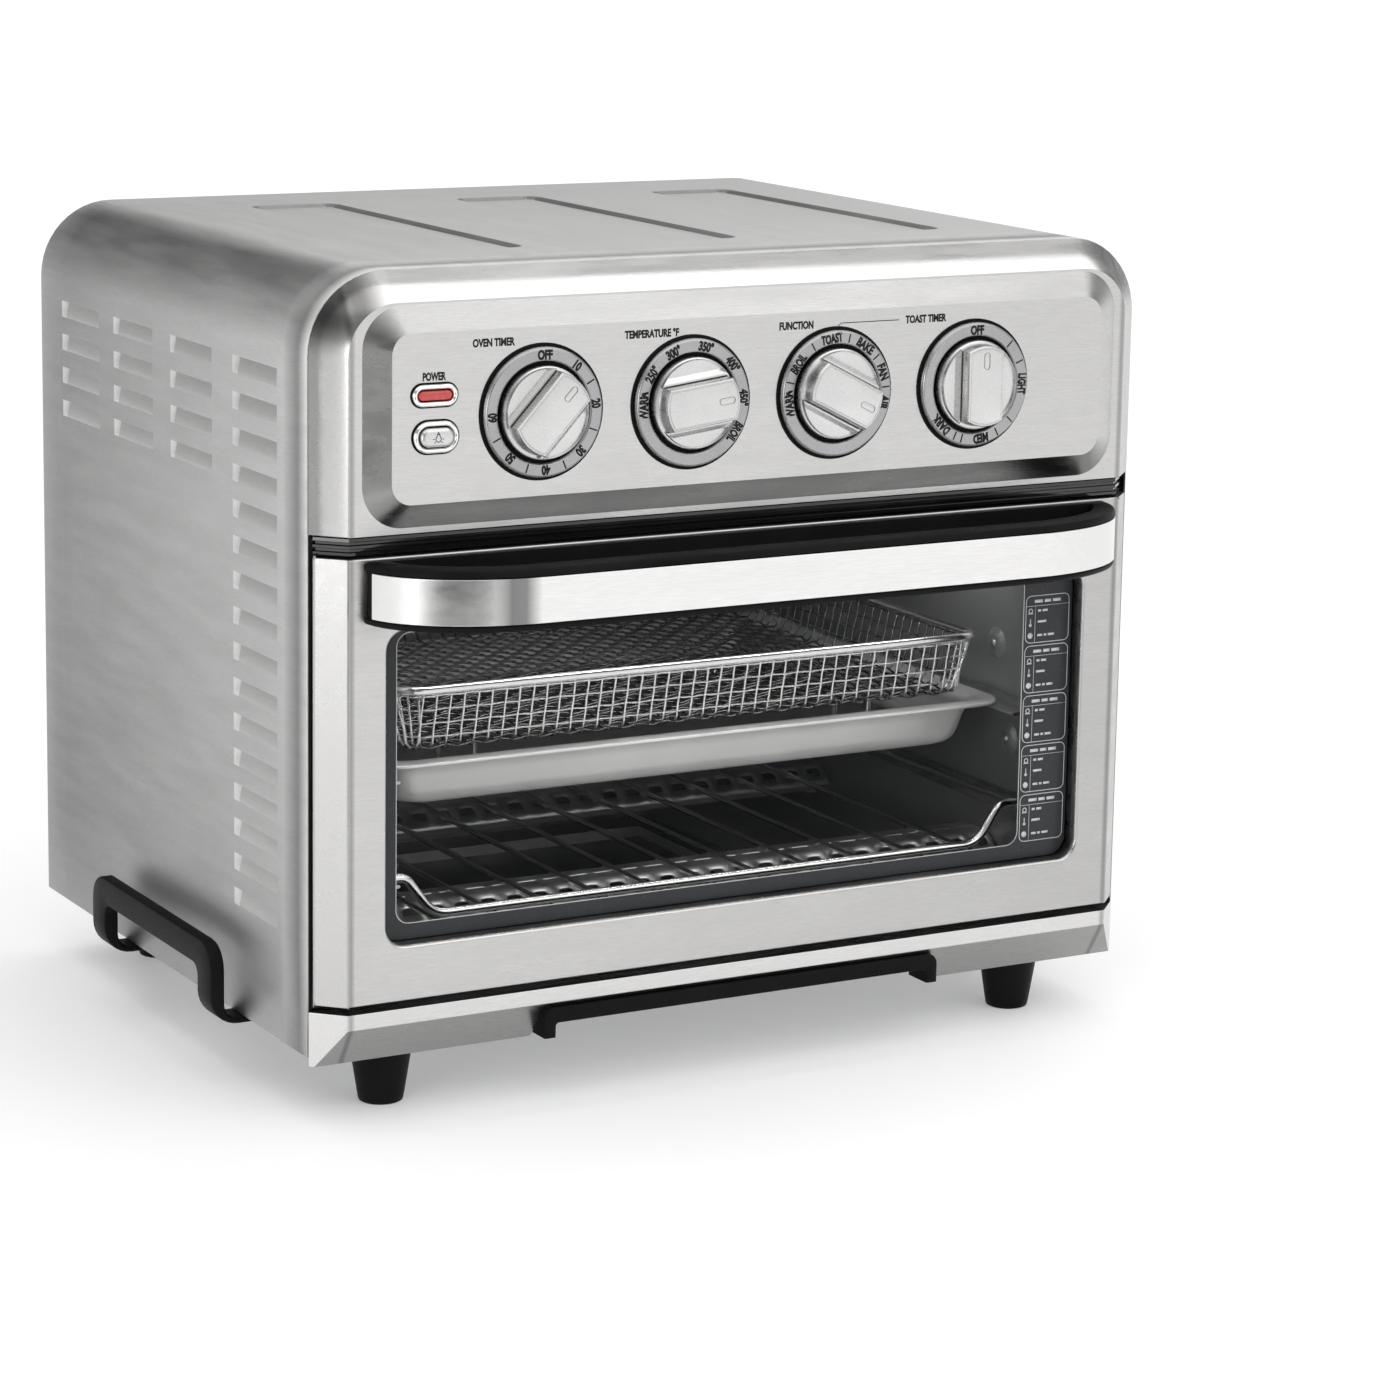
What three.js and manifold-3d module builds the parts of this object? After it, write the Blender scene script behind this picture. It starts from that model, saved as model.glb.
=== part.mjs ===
// A countertop toaster oven with an air-fry basket, as separate pieces.
// Millimetres, +X to the right of a person facing the front, front faces -Y, +Z up.
// The group below shifts the model so that its origin is the middle of its footprint on the table.
import * as THREE from "three";
import { mergeVertices } from "three/addons/utils/BufferGeometryUtils.js";
import { ConvexGeometry } from "three/addons/geometries/ConvexGeometry.js";
import Module from "manifold-3d";

const wasm = await Module();
wasm.setup();

// ---------- driving dimensions ----------
// In this block and all the pieces, y = 0 is the front plane of the door and z = 0 is the table.
const GAP = 0.3; // clearance between pieces that touch
const SHEET = 1.2; // sheet steel thickness
const BODY_HALF_W = 200.5; // outside of the wrap
const BODY_TOP = 354.4;
const BODY_BOTTOM = 29.3;
const BODY_FRONT = 12.9; // front edge of the wrap
const BODY_REAR = 313.4;
const TOP_RADIUS = 34; // rounded upper edges
const CREASE_X = 188; // where the front face turns back at 45 degrees
const CHAMFER = 12.4; // depth and width of that turned-back facet

const PANEL_BOTTOM = 248;
const PANEL_EMBOSS_OUT = 5.7; // raised field of the control panel
const KNOB_X = [-104.5, -34.8, 34.8, 104.5];
const KNOB_Z = 295.3;
const KNOB_RADIUS = 19.5;
const RING_RADIUS = 27;
const KNOB_REACH = 11.5; // from the raised field to the top of the grip
const KNOB_ANGLE = [43, 83, 117, 0]; // pointer, degrees clockwise from straight up

const DOOR_BOTTOM = 52;
const DOOR_TOP = 239;
const DOOR_THICK = 11.5;
const WINDOW = { halfW: 170.5, z0: 75.5, z1: 208, r: 8.6 };
const GLASS_FRONT = 8;
const GLASS_THICK = 3.2;
const HINGE_Y = 5;
const HINGE_Z = 56;

const HANDLE = { halfW: 181, flatHalfW: 118, reach: 41, z0: 212, z1: 238, band0: 215, band1: 234 };

const CAVITY = { halfW: 165, front: 15.8, rear: 285, floor: 49.4, ceiling: 239.6 };
const MOUTH = { halfW: 163, z0: 62, z1: 236 };
const RACK_Z = 79;
const RACK_FRONT = 28.5;
const RACK_REAR = 272;
const WIRE_PITCH = 26.7;
const GUIDE_LOW = 94; // top of the ledge that carries the wire rack
const GUIDE_HIGH = 138.6; // top of the ledge that carries the baking pan
const PAN = { halfW: 157, front: 36, rear: 270, z0: 120.5, z1: 142 };
const BASKET = { halfW: 145, front: 40, rear: 262, z0: 144, z1: 174 };

const FEET = { x: 158, yFront: 32.5, yRear: 280, topR: 14.5, bottomR: 9.5 };
const SIDE_HANDLE = {
  y0: 78,
  y1: 216,
  z0: 26.4,
  z1: 62,
  out: 15.5, // from the wrap to the outer face
  legW: 15.5,
  barH: 12,
  band: 6.6, // thickness of the bent band
  bend: 13, // outer radius of the hooks
};
const FAN = { y: 150, radius: 58 };

// ---------- materials ----------
const look = (color, roughness, metalness) =>
  new THREE.MeshStandardMaterial({ color, roughness, metalness });
const brushed = () => look(0xcfcecc, 0.32, 1.0);
const satin = () => look(0xb9b9ba, 0.4, 1.0);
const chrome = () => look(0xe6e6e6, 0.1, 1.0);
const galvanised = () => look(0x9b9c9d, 0.45, 1.0);
const darkEnamel = () => look(0x303235, 0.4, 0.2);
const blackPlastic = () => look(0x1a1a1a, 0.5, 0.0);
const glossBlack = () => look(0x0d0d0e, 0.12, 0.0);
const aluminium = () => look(0xbfc1bf, 0.35, 1.0);
const ceramic = () => look(0xe4e0d6, 0.6, 0.0);

// ---------- geometry helpers ----------
const V2 = (x, y) => new THREE.Vector2(x, y);
const V3 = (x, y, z) => new THREE.Vector3(x, y, z);

// A closed geometry as a manifold solid.
function solid(geometry) {
  const bare = geometry.clone();
  for (const name of ["normal", "uv"]) bare.deleteAttribute(name);
  const merged = mergeVertices(bare, 1e-4);
  const vertProperties = new Float32Array(merged.attributes.position.array);
  const triVerts = new Uint32Array(merged.index.array);
  return new wasm.Manifold(new wasm.Mesh({ numProp: 3, vertProperties, triVerts }));
}

function addAll(first, others) {
  return others.reduce((sum, next) => sum.add(next), first);
}

function cutAll(first, others) {
  return others.reduce((rest, next) => rest.subtract(next), first);
}

const pieces = [];

// Names a solid as one piece of the oven.
function piece(name, body, material) {
  const { vertProperties, triVerts } = body.getMesh();
  const geometry = new THREE.BufferGeometry();
  geometry.setAttribute("position", new THREE.BufferAttribute(new Float32Array(vertProperties), 3));
  geometry.setIndex(new THREE.BufferAttribute(new Uint32Array(triVerts), 1));
  const mesh = new THREE.Mesh(geometry, material);
  mesh.name = name;
  pieces.push(mesh);
  return mesh;
}

// Extrusions of a 2D outline along each axis.
function extruded(shape, depth, curveSegments = 8) {
  return new THREE.ExtrudeGeometry(shape, { depth, bevelEnabled: false, curveSegments });
}
// outline in x, y
function alongZ(shape, z0, z1, segments) {
  return solid(extruded(shape, z1 - z0, segments).translate(0, 0, z0));
}
// outline in x, z
function alongY(shape, y0, y1, segments) {
  return solid(extruded(shape, y1 - y0, segments).rotateX(Math.PI / 2).translate(0, y1, 0));
}
// outline in y, z
function alongX(shape, x0, x1, segments) {
  const turn = new THREE.Matrix4().makeBasis(V3(0, 1, 0), V3(0, 0, 1), V3(1, 0, 0));
  return solid(extruded(shape, x1 - x0, segments).applyMatrix4(turn).translate(x0, 0, 0));
}

function box(x0, x1, y0, y1, z0, z1) {
  const geometry = new THREE.BoxGeometry(x1 - x0, y1 - y0, z1 - z0);
  return solid(geometry.translate((x0 + x1) / 2, (y0 + y1) / 2, (z0 + z1) / 2));
}

// A cylinder between two values on the given axis.
function cylinder(axis, a, b, from, to, radius, endRadius = radius, sides = 20) {
  const geometry = new THREE.CylinderGeometry(endRadius, radius, to - from, sides);
  const middle = (from + to) / 2;
  if (axis === "x") return solid(geometry.rotateZ(-Math.PI / 2).translate(middle, a, b));
  if (axis === "y") return solid(geometry.translate(a, middle, b));
  return solid(geometry.rotateX(Math.PI / 2).translate(a, b, middle));
}

// A lathe profile has to run one way round for its faces to point out.
function lathe(points, sides) {
  const area = THREE.ShapeUtils.area(points);
  return new THREE.LatheGeometry(area > 0 ? points : points.reverse(), sides);
}

// A ring or turned body about the Y axis, from a profile of [radius, y] points.
function turnedY(profile, x, z, sides = 24) {
  const points = profile.map(([radius, y]) => V2(radius, y));
  return solid(lathe(points, sides).translate(x, 0, z));
}

function hull(points) {
  return solid(new ConvexGeometry(points));
}

function roundedRect(x0, x1, y0, y1, r, rTop = r) {
  const s = new THREE.Shape();
  s.moveTo(x0 + r, y0);
  s.lineTo(x1 - r, y0);
  if (r > 0) s.absarc(x1 - r, y0 + r, r, -Math.PI / 2, 0);
  s.lineTo(x1, y1 - rTop);
  if (rTop > 0) s.absarc(x1 - rTop, y1 - rTop, rTop, 0, Math.PI / 2);
  s.lineTo(x0 + rTop, y1);
  if (rTop > 0) s.absarc(x0 + rTop, y1 - rTop, rTop, Math.PI / 2, Math.PI);
  s.lineTo(x0, y0 + r);
  if (r > 0) s.absarc(x0 + r, y0 + r, r, Math.PI, 1.5 * Math.PI);
  return s;
}

// The points of an outline, placed in a plane of constant y.
function ringAtY(shape, y, segments = 5) {
  return shape.getPoints(segments).map((p) => V3(p.x, y, p.y));
}

// A straight round bar from one point to another.
function bar(from, to, radius, sides = 6) {
  const along = to.clone().sub(from);
  const geometry = new THREE.CylinderGeometry(radius, radius, along.length(), sides);
  const turn = new THREE.Quaternion().setFromUnitVectors(V3(0, 1, 0), along.clone().normalize());
  const middle = from.clone().add(to).multiplyScalar(0.5);
  return solid(geometry.applyQuaternion(turn).translate(middle.x, middle.y, middle.z));
}

const mirrorX = (body) => body.mirror([1, 0, 0]);
const sides = [
  ["left", -1],
  ["right", 1],
];

// ---------- outer body ----------
// The front pieces share this plan outline: flat in the middle, turned back at 45 degrees.
function frontPlan(front, back, inset = 0) {
  const crease = CREASE_X - inset;
  const turned = Math.min(CHAMFER, back - front);
  const outline = [V2(-crease, front), V2(crease, front), V2(crease + turned, front + turned)];
  if (back > front + turned) outline.push(V2(crease + turned, back), V2(-crease - turned, back));
  outline.push(V2(-crease - turned, front + turned));
  return new THREE.Shape(outline);
}

const LOUVER = { length: 46, slit: 1.8, pitch: 15.2, top: 312 };
const LOUVER_COLUMNS = [
  { rear: 286.7, count: 4 },
  { rear: 223, count: 4 },
  { rear: 156.7, count: 4 },
  { rear: 88.5, count: 16 },
];

// The slits of both sides' louvers; their pressed-out lips are left to the finer model.
function louverSlits() {
  const slits = [];
  for (const { rear, count } of LOUVER_COLUMNS) {
    for (let row = 0; row < count; row++) {
      const top = LOUVER.top - row * LOUVER.pitch;
      for (const side of [-BODY_HALF_W, BODY_HALF_W]) {
        slits.push(box(side - 5, side + 5, rear - LOUVER.length, rear, top - LOUVER.slit, top));
      }
    }
  }
  return slits;
}

const TOP_RECESS = { halfW: 21.5, y0: 65, y1: 265, depth: 1.6, radius: 7, x: [-97, 7.5, 112] };

// Sides and top in one outline, open underneath.
function wrapOutline(inset, bottom) {
  const halfW = BODY_HALF_W - inset;
  return roundedRect(-halfW, halfW, bottom, BODY_TOP - inset, 0, TOP_RADIUS - inset);
}

function outerWrap() {
  const outside = alongY(wrapOutline(0, BODY_BOTTOM), BODY_FRONT, BODY_REAR, 6);
  const inside = alongY(wrapOutline(SHEET, BODY_BOTTOM - 10), BODY_FRONT - 5, BODY_REAR + 5, 6);
  let wrap = outside.subtract(inside);
  const { halfW, y0, y1, depth, radius } = TOP_RECESS;
  const floor = BODY_TOP - depth;
  for (const x of TOP_RECESS.x) {
    const pocket = (grow) =>
      roundedRect(x - halfW - grow, x + halfW + grow, y0 - grow, y1 + grow, radius + grow);
    wrap = wrap.add(alongZ(pocket(SHEET), floor - SHEET, BODY_TOP - SHEET / 2, 3));
    wrap = wrap.subtract(alongZ(pocket(0), floor, BODY_TOP + 5, 3));
  }
  piece("outer_wrap", cutAll(wrap, louverSlits()), brushed());
}

const REAR_VENT = { rows: 6, columns: 3, length: 60, height: 4, pitchX: 80, pitchZ: 12, top: 322 };
const INLET = { x: 150, z: 70, radius: 9 };

function rearCover() {
  const halfW = BODY_HALF_W - SHEET - GAP;
  const top = BODY_TOP - SHEET - GAP;
  const outline = roundedRect(-halfW, halfW, BODY_BOTTOM, top, 0, TOP_RADIUS - SHEET - GAP);
  const thickness = 1.5;
  const rear = BODY_REAR - 1;
  let cover = alongY(outline, rear - thickness, rear, 5);
  for (let row = 0; row < REAR_VENT.rows; row++) {
    for (let column = 0; column < REAR_VENT.columns; column++) {
      const x = (column - (REAR_VENT.columns - 1) / 2) * REAR_VENT.pitchX;
      const z = REAR_VENT.top - row * REAR_VENT.pitchZ;
      const half = REAR_VENT.length / 2;
      cover = cover.subtract(box(x - half, x + half, rear - 5, rear + 5, z - REAR_VENT.height, z));
    }
  }
  cover = cover.subtract(cylinder("y", INLET.x, INLET.z, rear - 5, rear + 5, INLET.radius + GAP));
  piece("rear_cover", cover, galvanised());

  const collar = [
    [0, rear - 12],
    [INLET.radius, rear - 12],
    [INLET.radius, rear + GAP],
    [INLET.radius + 3, rear + GAP],
    [INLET.radius + 2, rear + 0.9],
    [4.4, rear + 0.9],
    [4.4, rear - 6],
    [0, rear - 6],
  ];
  piece("cord_gland", turnedY(collar, INLET.x, INLET.z, 16), blackPlastic());
}

function basePlate() {
  const halfW = BODY_HALF_W - SHEET - GAP;
  const plate = box(-halfW, halfW, BODY_FRONT + 1, BODY_REAR - 3, BODY_BOTTOM + GAP, BODY_BOTTOM + 1.8);
  const slots = [];
  for (const x of [-130, -80, 80, 130]) {
    for (const y of [120, 170, 220]) slots.push(box(x - 17, x + 17, y - 2.5, y + 2.5, 20, 40));
  }
  piece("base_plate", cutAll(plate, slots), galvanised());
  for (const [end, y] of [["front", FEET.yFront], ["rear", FEET.yRear]]) {
    for (const [side, sign] of sides) {
      const foot = cylinder("z", sign * FEET.x, y, 0, BODY_BOTTOM, FEET.bottomR, FEET.topR, 20);
      piece(`foot_${end}_${side}`, foot, blackPlastic());
    }
  }
}

// Each grip is a bent band that stands off the wrap; the ends of its legs hook in under the body.
function sideHandles() {
  const { y0, y1, z0, z1, out, legW, barH, band, bend } = SIDE_HANDLE;
  const outer = roundedRect(y0, y1, z0 - 1, z1, 0, 12);
  const inner = roundedRect(y0 + legW, y1 - legW, z0 - 5, z1 - barH, 0, 5);
  const x1 = BODY_HALF_W + out;
  const tuck = BODY_HALF_W - 10;
  const arch = alongX(outer, tuck - 2, x1, 4).subtract(alongX(inner, tuck - 5, x1 + 5, 2));
  const hookTop = BODY_BOTTOM - GAP;
  const section = new THREE.Shape();
  section.moveTo(tuck, z0);
  section.lineTo(x1 - bend, z0);
  section.absarc(x1 - bend, z0 + bend, bend, -Math.PI / 2, 0, false);
  section.lineTo(x1, z1);
  section.lineTo(x1 - band, z1);
  section.lineTo(x1 - band, hookTop + bend - band);
  section.absarc(x1 - bend, hookTop + bend - band, bend - band, 0, -Math.PI / 2, true);
  section.lineTo(tuck, hookTop);
  const grip = arch.intersect(alongY(section, y0 - 5, y1 + 5, 4));
  piece("side_handle_right", grip, blackPlastic());
  piece("side_handle_left", mirrorX(grip), blackPlastic());
}

// ---------- control panel ----------
const PANEL_LEVELS = {
  rim: () => roundedRect(-CREASE_X - CHAMFER, CREASE_X + CHAMFER, PANEL_BOTTOM, BODY_TOP, 0, TOP_RADIUS),
  face: () => roundedRect(-CREASE_X, CREASE_X, PANEL_BOTTOM, BODY_TOP - CHAMFER, 0, TOP_RADIUS - CHAMFER),
  embossFoot: () => roundedRect(-182, 182, 250.4, 342.3 - 1.2, 18),
  embossTop: () => roundedRect(-171.5, 171.5, 260.5, 330.4, 9),
};
const LAMP = { x: -152.8, z: 304.8, halfW: 10, halfH: 4.5 };
const LIGHT_BUTTON = { x: -152.3, z: 287.8, halfW: 10, halfH: 6.5 };
const SHAFT_HOLE = 6.4;

function pill({ x, z, halfW, halfH }, shrink = 0) {
  const w = halfW - shrink;
  const h = halfH - shrink;
  return roundedRect(x - w, x + w, z - h, z + h, Math.min(w, h) - 0.05);
}

function controlPanel() {
  const { rim, face, embossFoot, embossTop } = PANEL_LEVELS;
  const back = BODY_FRONT - GAP;
  const wall = 1.5;
  const shell = (dy) => {
    const edges = [...ringAtY(rim(), back + dy), ...ringAtY(rim(), CHAMFER + dy)];
    const dish = hull([...edges, ...ringAtY(face(), dy)]);
    const field = [...ringAtY(embossTop(), dy - PANEL_EMBOSS_OUT), ...ringAtY(embossTop(), dy + 1)];
    return dish.add(hull([...ringAtY(embossFoot(), dy), ...field]));
  };
  const roomHalf = CREASE_X - wall;
  const room = box(-roomHalf, roomHalf, -20, 40, PANEL_BOTTOM + 2, BODY_TOP - CHAMFER - 0.6);
  const cuts = [shell(wall).intersect(room)];
  for (const x of KNOB_X) cuts.push(cylinder("y", x, KNOB_Z, -20, 20, SHAFT_HOLE, SHAFT_HOLE, 12));
  for (const place of [LAMP, LIGHT_BUTTON]) cuts.push(alongY(pill(place, 1), -20, 20, 3));
  piece("control_panel", cutAll(shell(0), cuts), brushed());
}

const FIELD_Y = -PANEL_EMBOSS_OUT;

function lampAndButton() {
  const flange = (at) => alongY(pill(at), FIELD_Y - 2, FIELD_Y - GAP, 3);
  const sleeve = (at) => alongY(pill(at, 1 + GAP), FIELD_Y - 1, FIELD_Y + 3, 3);
  const bore = (at) => alongY(pill(at, 2.3), FIELD_Y - 9, FIELD_Y + 9, 3);
  piece("power_lamp_bezel", flange(LAMP).add(sleeve(LAMP)).subtract(bore(LAMP)), chrome());
  const lens = alongY(pill(LAMP, 2.3 + GAP), FIELD_Y - 1.6, FIELD_Y + 8, 3);
  piece("power_lamp_lens", lens, look(0xb5403c, 0.15, 0.0));
  piece(
    "light_button_bezel",
    flange(LIGHT_BUTTON).add(sleeve(LIGHT_BUTTON)).subtract(bore(LIGHT_BUTTON)),
    chrome()
  );
  const cap = alongY(pill(LIGHT_BUTTON, 2.3 + GAP), FIELD_Y - 3.2, FIELD_Y + 6, 3);
  piece("light_button", cap, satin());
  const { x, z } = LIGHT_BUTTON;
  piece("light_switch", box(x - 9, x + 9, 4.6, 22, z - 7, z + 7), blackPlastic());
}

const KNOB_NAMES = ["oven_timer", "temperature", "function", "toast_timer"];
const SWITCH_NAMES = ["oven_timer_movement", "thermostat", "function_switch", "toast_timer_movement"];
const BRACKET_Y = 8;

function knobs() {
  const ringProfile = [
    [KNOB_RADIUS + 1, FIELD_Y - GAP],
    [RING_RADIUS, FIELD_Y - GAP],
    [RING_RADIUS, FIELD_Y - 2.4],
    [RING_RADIUS - 0.8, FIELD_Y - 3.2],
    [KNOB_RADIUS + 1, FIELD_Y - 3.2],
    [KNOB_RADIUS + 1, FIELD_Y - GAP],
  ];
  const tip = FIELD_Y - KNOB_REACH;
  const discFront = FIELD_Y - 4.8;
  KNOB_X.forEach((x, i) => {
    piece(`${KNOB_NAMES[i]}_ring`, turnedY(ringProfile, x, KNOB_Z), satin());

    const disc = turnedY(
      [
        [0, FIELD_Y - 0.6],
        [KNOB_RADIUS, FIELD_Y - 0.6],
        [KNOB_RADIUS - 0.8, discFront],
        [0, discFront],
      ],
      x,
      KNOB_Z
    );
    const hub = cylinder("y", x, KNOB_Z, discFront + 1, 3, 5.2, 5.2, 12);
    const gripHalf = 9.2;
    const reach = KNOB_RADIUS - 2.2;
    const gripOutline = [
      [-gripHalf, discFront + 1],
      [gripHalf, discFront + 1],
      [gripHalf - 0.8, tip],
      [-gripHalf + 0.8, tip],
    ];
    const blank = hull([
      ...gripOutline.map(([u, y]) => V3(x + u, y, KNOB_Z - reach)),
      ...gripOutline.map(([u, y]) => V3(x + u, y, KNOB_Z + reach)),
    ]);
    const grip = blank.intersect(cylinder("y", x, KNOB_Z, -40, 5, reach, reach, 24));
    const pointer = box(x - 1, x + 1, tip - 5, tip + 0.8, KNOB_Z + 9, KNOB_Z + 30);
    const bore = cylinder("y", x, KNOB_Z, FIELD_Y - 3, 10, 3.4, 3.4, 12);
    const upright = disc.add(hub).add(grip).subtract(pointer).subtract(bore);
    const turned = upright
      .translate([-x, 0, -KNOB_Z])
      .rotate([0, KNOB_ANGLE[i], 0])
      .translate([x, 0, KNOB_Z]);
    piece(`${KNOB_NAMES[i]}_knob`, turned, satin());

    const works = box(x - 20, x + 20, BRACKET_Y + 2, BRACKET_Y + 30, KNOB_Z - 20, KNOB_Z + 20);
    const shaft = cylinder("y", x, KNOB_Z, -3, BRACKET_Y + 5, 3, 3, 12);
    piece(SWITCH_NAMES[i], works.add(shaft), i % 3 === 0 ? galvanised() : ceramic());
  });

  let bracket = box(-160, 160, BRACKET_Y, BRACKET_Y + SHEET, KNOB_Z - 26, KNOB_Z + 26);
  for (const x of KNOB_X) bracket = bracket.subtract(cylinder("y", x, KNOB_Z, 0, 20, 5, 5, 12));
  const { x, z } = LIGHT_BUTTON;
  bracket = bracket.subtract(box(x - 9 - GAP, x + 9 + GAP, 0, 30, z - 7 - GAP, z + 7 + GAP));
  piece("control_bracket", bracket, galvanised());
}

// ---------- strips above and below the door ----------
const RAIL = {
  top: 48.8,
  edge: 42.2,
  bottom: 25.5,
  lean: 10.5, // how far the lower facet has leant back at its bottom edge
  notchTop: 40.4,
  notchHalfTop: 93,
  notchHalfBottom: 99,
};

function strips() {
  let strip = alongZ(frontPlan(1.6, BODY_FRONT - GAP, 1), DOOR_TOP + 0.8, PANEL_BOTTOM - GAP);
  for (const z of [242, 244.4]) {
    const groove = alongZ(frontPlan(1.5, BODY_FRONT + 2, 1), z, z + 0.8);
    const kept = alongZ(frontPlan(2.4, BODY_FRONT + 4, 1), z - 1, z + 2);
    strip = strip.subtract(groove.subtract(kept));
  }
  piece("seam_strip", strip, glossBlack());

  // The lower facet leans back and widens to the wrap, so its mitres run outwards.
  const back = BODY_FRONT - GAP;
  const side = CREASE_X + CHAMFER;
  const low = { crease: CREASE_X + RAIL.lean, front: RAIL.lean };
  const corners = [];
  for (const sign of [-1, 1]) {
    for (const z of [RAIL.top, RAIL.edge]) {
      corners.push(V3(sign * CREASE_X, 0, z), V3(sign * side, CHAMFER, z), V3(sign * side, back, z));
    }
    corners.push(V3(sign * low.crease, low.front, RAIL.bottom), V3(sign * side, back, RAIL.bottom));
  }
  const shell = hull(corners);
  const room = box(-CREASE_X + 2, CREASE_X - 2, 0, 30, RAIL.bottom + SHEET, RAIL.top - SHEET);
  const hollow = shell.translate([0, SHEET * 1.2, 0]).intersect(room);
  const notch = new THREE.Shape([
    V2(-RAIL.notchHalfBottom - 1, RAIL.bottom - 3),
    V2(RAIL.notchHalfBottom + 1, RAIL.bottom - 3),
    V2(RAIL.notchHalfTop, RAIL.notchTop),
    V2(-RAIL.notchHalfTop, RAIL.notchTop),
  ]);
  piece("base_rail", cutAll(shell, [hollow, alongY(notch, -10, 30)]), brushed());
}

// ---------- cavity ----------
const HEATERS = [
  { name: "lower_heater_front", y: 72, z: 62 },
  { name: "lower_heater_rear", y: 222, z: 62 },
  { name: "upper_heater_front", y: 58, z: 224 },
  { name: "upper_heater_rear", y: 240, z: 224 },
];
const HEATER_RADIUS = 4;
const TRAY = { halfW: 90, front: 13.5, rear: 262, z0: 33.2, z1: 39.4 };
const PULL = { height: 7.2, arm: 7, tip: 3 }; // the tray's pull: bar, and the width of its arms
const LAMP_PORT = { y: 225, z: 196, radius: 17 };

function cavity() {
  const { halfW, front, rear, floor, ceiling } = CAVITY;
  const outer = box(-halfW - 1, halfW + 1, front, rear + 1, floor - 1, ceiling + 1);
  const cuts = [
    box(-halfW, halfW, front - 5, rear, floor, ceiling),
    box(-86, 86, 34, 258, floor - 5, floor + 5),
    cylinder("z", 0, FAN.y, ceiling - 5, ceiling + 5, 7),
    cylinder("x", LAMP_PORT.y, LAMP_PORT.z, halfW - 5, halfW + 5, LAMP_PORT.radius + GAP),
  ];
  for (const { y, z } of HEATERS) {
    cuts.push(cylinder("x", y, z, -halfW - 5, -halfW + 5, 6, 6, 8));
    cuts.push(cylinder("x", y, z, halfW - 5, halfW + 5, 6, 6, 8));
  }
  piece("cavity_liner", cutAll(outer, cuts), darkEnamel());

  const plate = box(-199, 199, front - 1.5, front - GAP, 49.6, PANEL_BOTTOM - 1);
  const mouth = alongY(roundedRect(-MOUTH.halfW, MOUTH.halfW, MOUTH.z0, MOUTH.z1, 5), 0, 30, 3);
  piece("front_frame", plate.subtract(mouth), darkEnamel());

  for (const { name, y, z } of HEATERS) {
    const rod = cylinder("x", y, z, -halfW - 8, halfW + 8, HEATER_RADIUS, HEATER_RADIUS, 10);
    const caps = [-1, 1].map((sign) => {
      const a = sign * (halfW + 5);
      return cylinder("x", y, z, a - 7, a + 7, 5, 5, 10);
    });
    piece(name, addAll(rod, caps), ceramic());
  }

  const archPoints = [
    [-20, 66],
    [-9, 74.6],
    [9, 74.6],
    [20, 66],
    [18.9, 65],
    [8.5, 73.2],
    [-8.5, 73.2],
    [-18.9, 65],
  ];
  for (const [name, y] of [["heater_guard_front", 72], ["heater_guard_rear", 222]]) {
    const outline = new THREE.Shape(archPoints.map(([dy, z]) => V2(y + dy, z)));
    let guard = alongX(outline, -halfW + 1, halfW - 1);
    for (let i = -4; i <= 4; i++) {
      guard = guard.subtract(box(i * 34 - 10, i * 34 + 10, y - 4, y + 4, 60, 90));
    }
    piece(name, guard, galvanised());
  }

  // Each guide is a folded strip with two ledges on the side wall.
  const reach = 13;
  const guide = addAll(box(halfW - 2, halfW - GAP, 26, 274, 84, 150), [
    box(halfW - reach, halfW - 1, 26, 274, GUIDE_LOW - 1.5, GUIDE_LOW),
    box(halfW - reach, halfW - 1, 26, 274, GUIDE_HIGH - 1.5, GUIDE_HIGH),
  ]);
  piece("rack_guide_right", guide, galvanised());
  piece("rack_guide_left", mirrorX(guide), galvanised());

  const { y, z, radius } = LAMP_PORT;
  const cover = cylinder("x", y, z, halfW - 4, halfW + 6, radius - 1, radius, 20);
  const hollow = cylinder("x", y, z, halfW - 2, halfW + 10, radius - 3, radius - 2, 20);
  piece("oven_lamp_cover", cover.subtract(hollow), look(0xf2efe4, 0.2, 0.0));
  const bulb = addAll(cylinder("x", y, z, halfW + 1, halfW + 9, 5, 8, 12), [
    cylinder("x", y, z, halfW + 8.9, halfW + 26, 7, 7, 12),
  ]);
  piece("oven_lamp_bulb", bulb, look(0xfff3d0, 0.15, 0.0));
}

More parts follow.
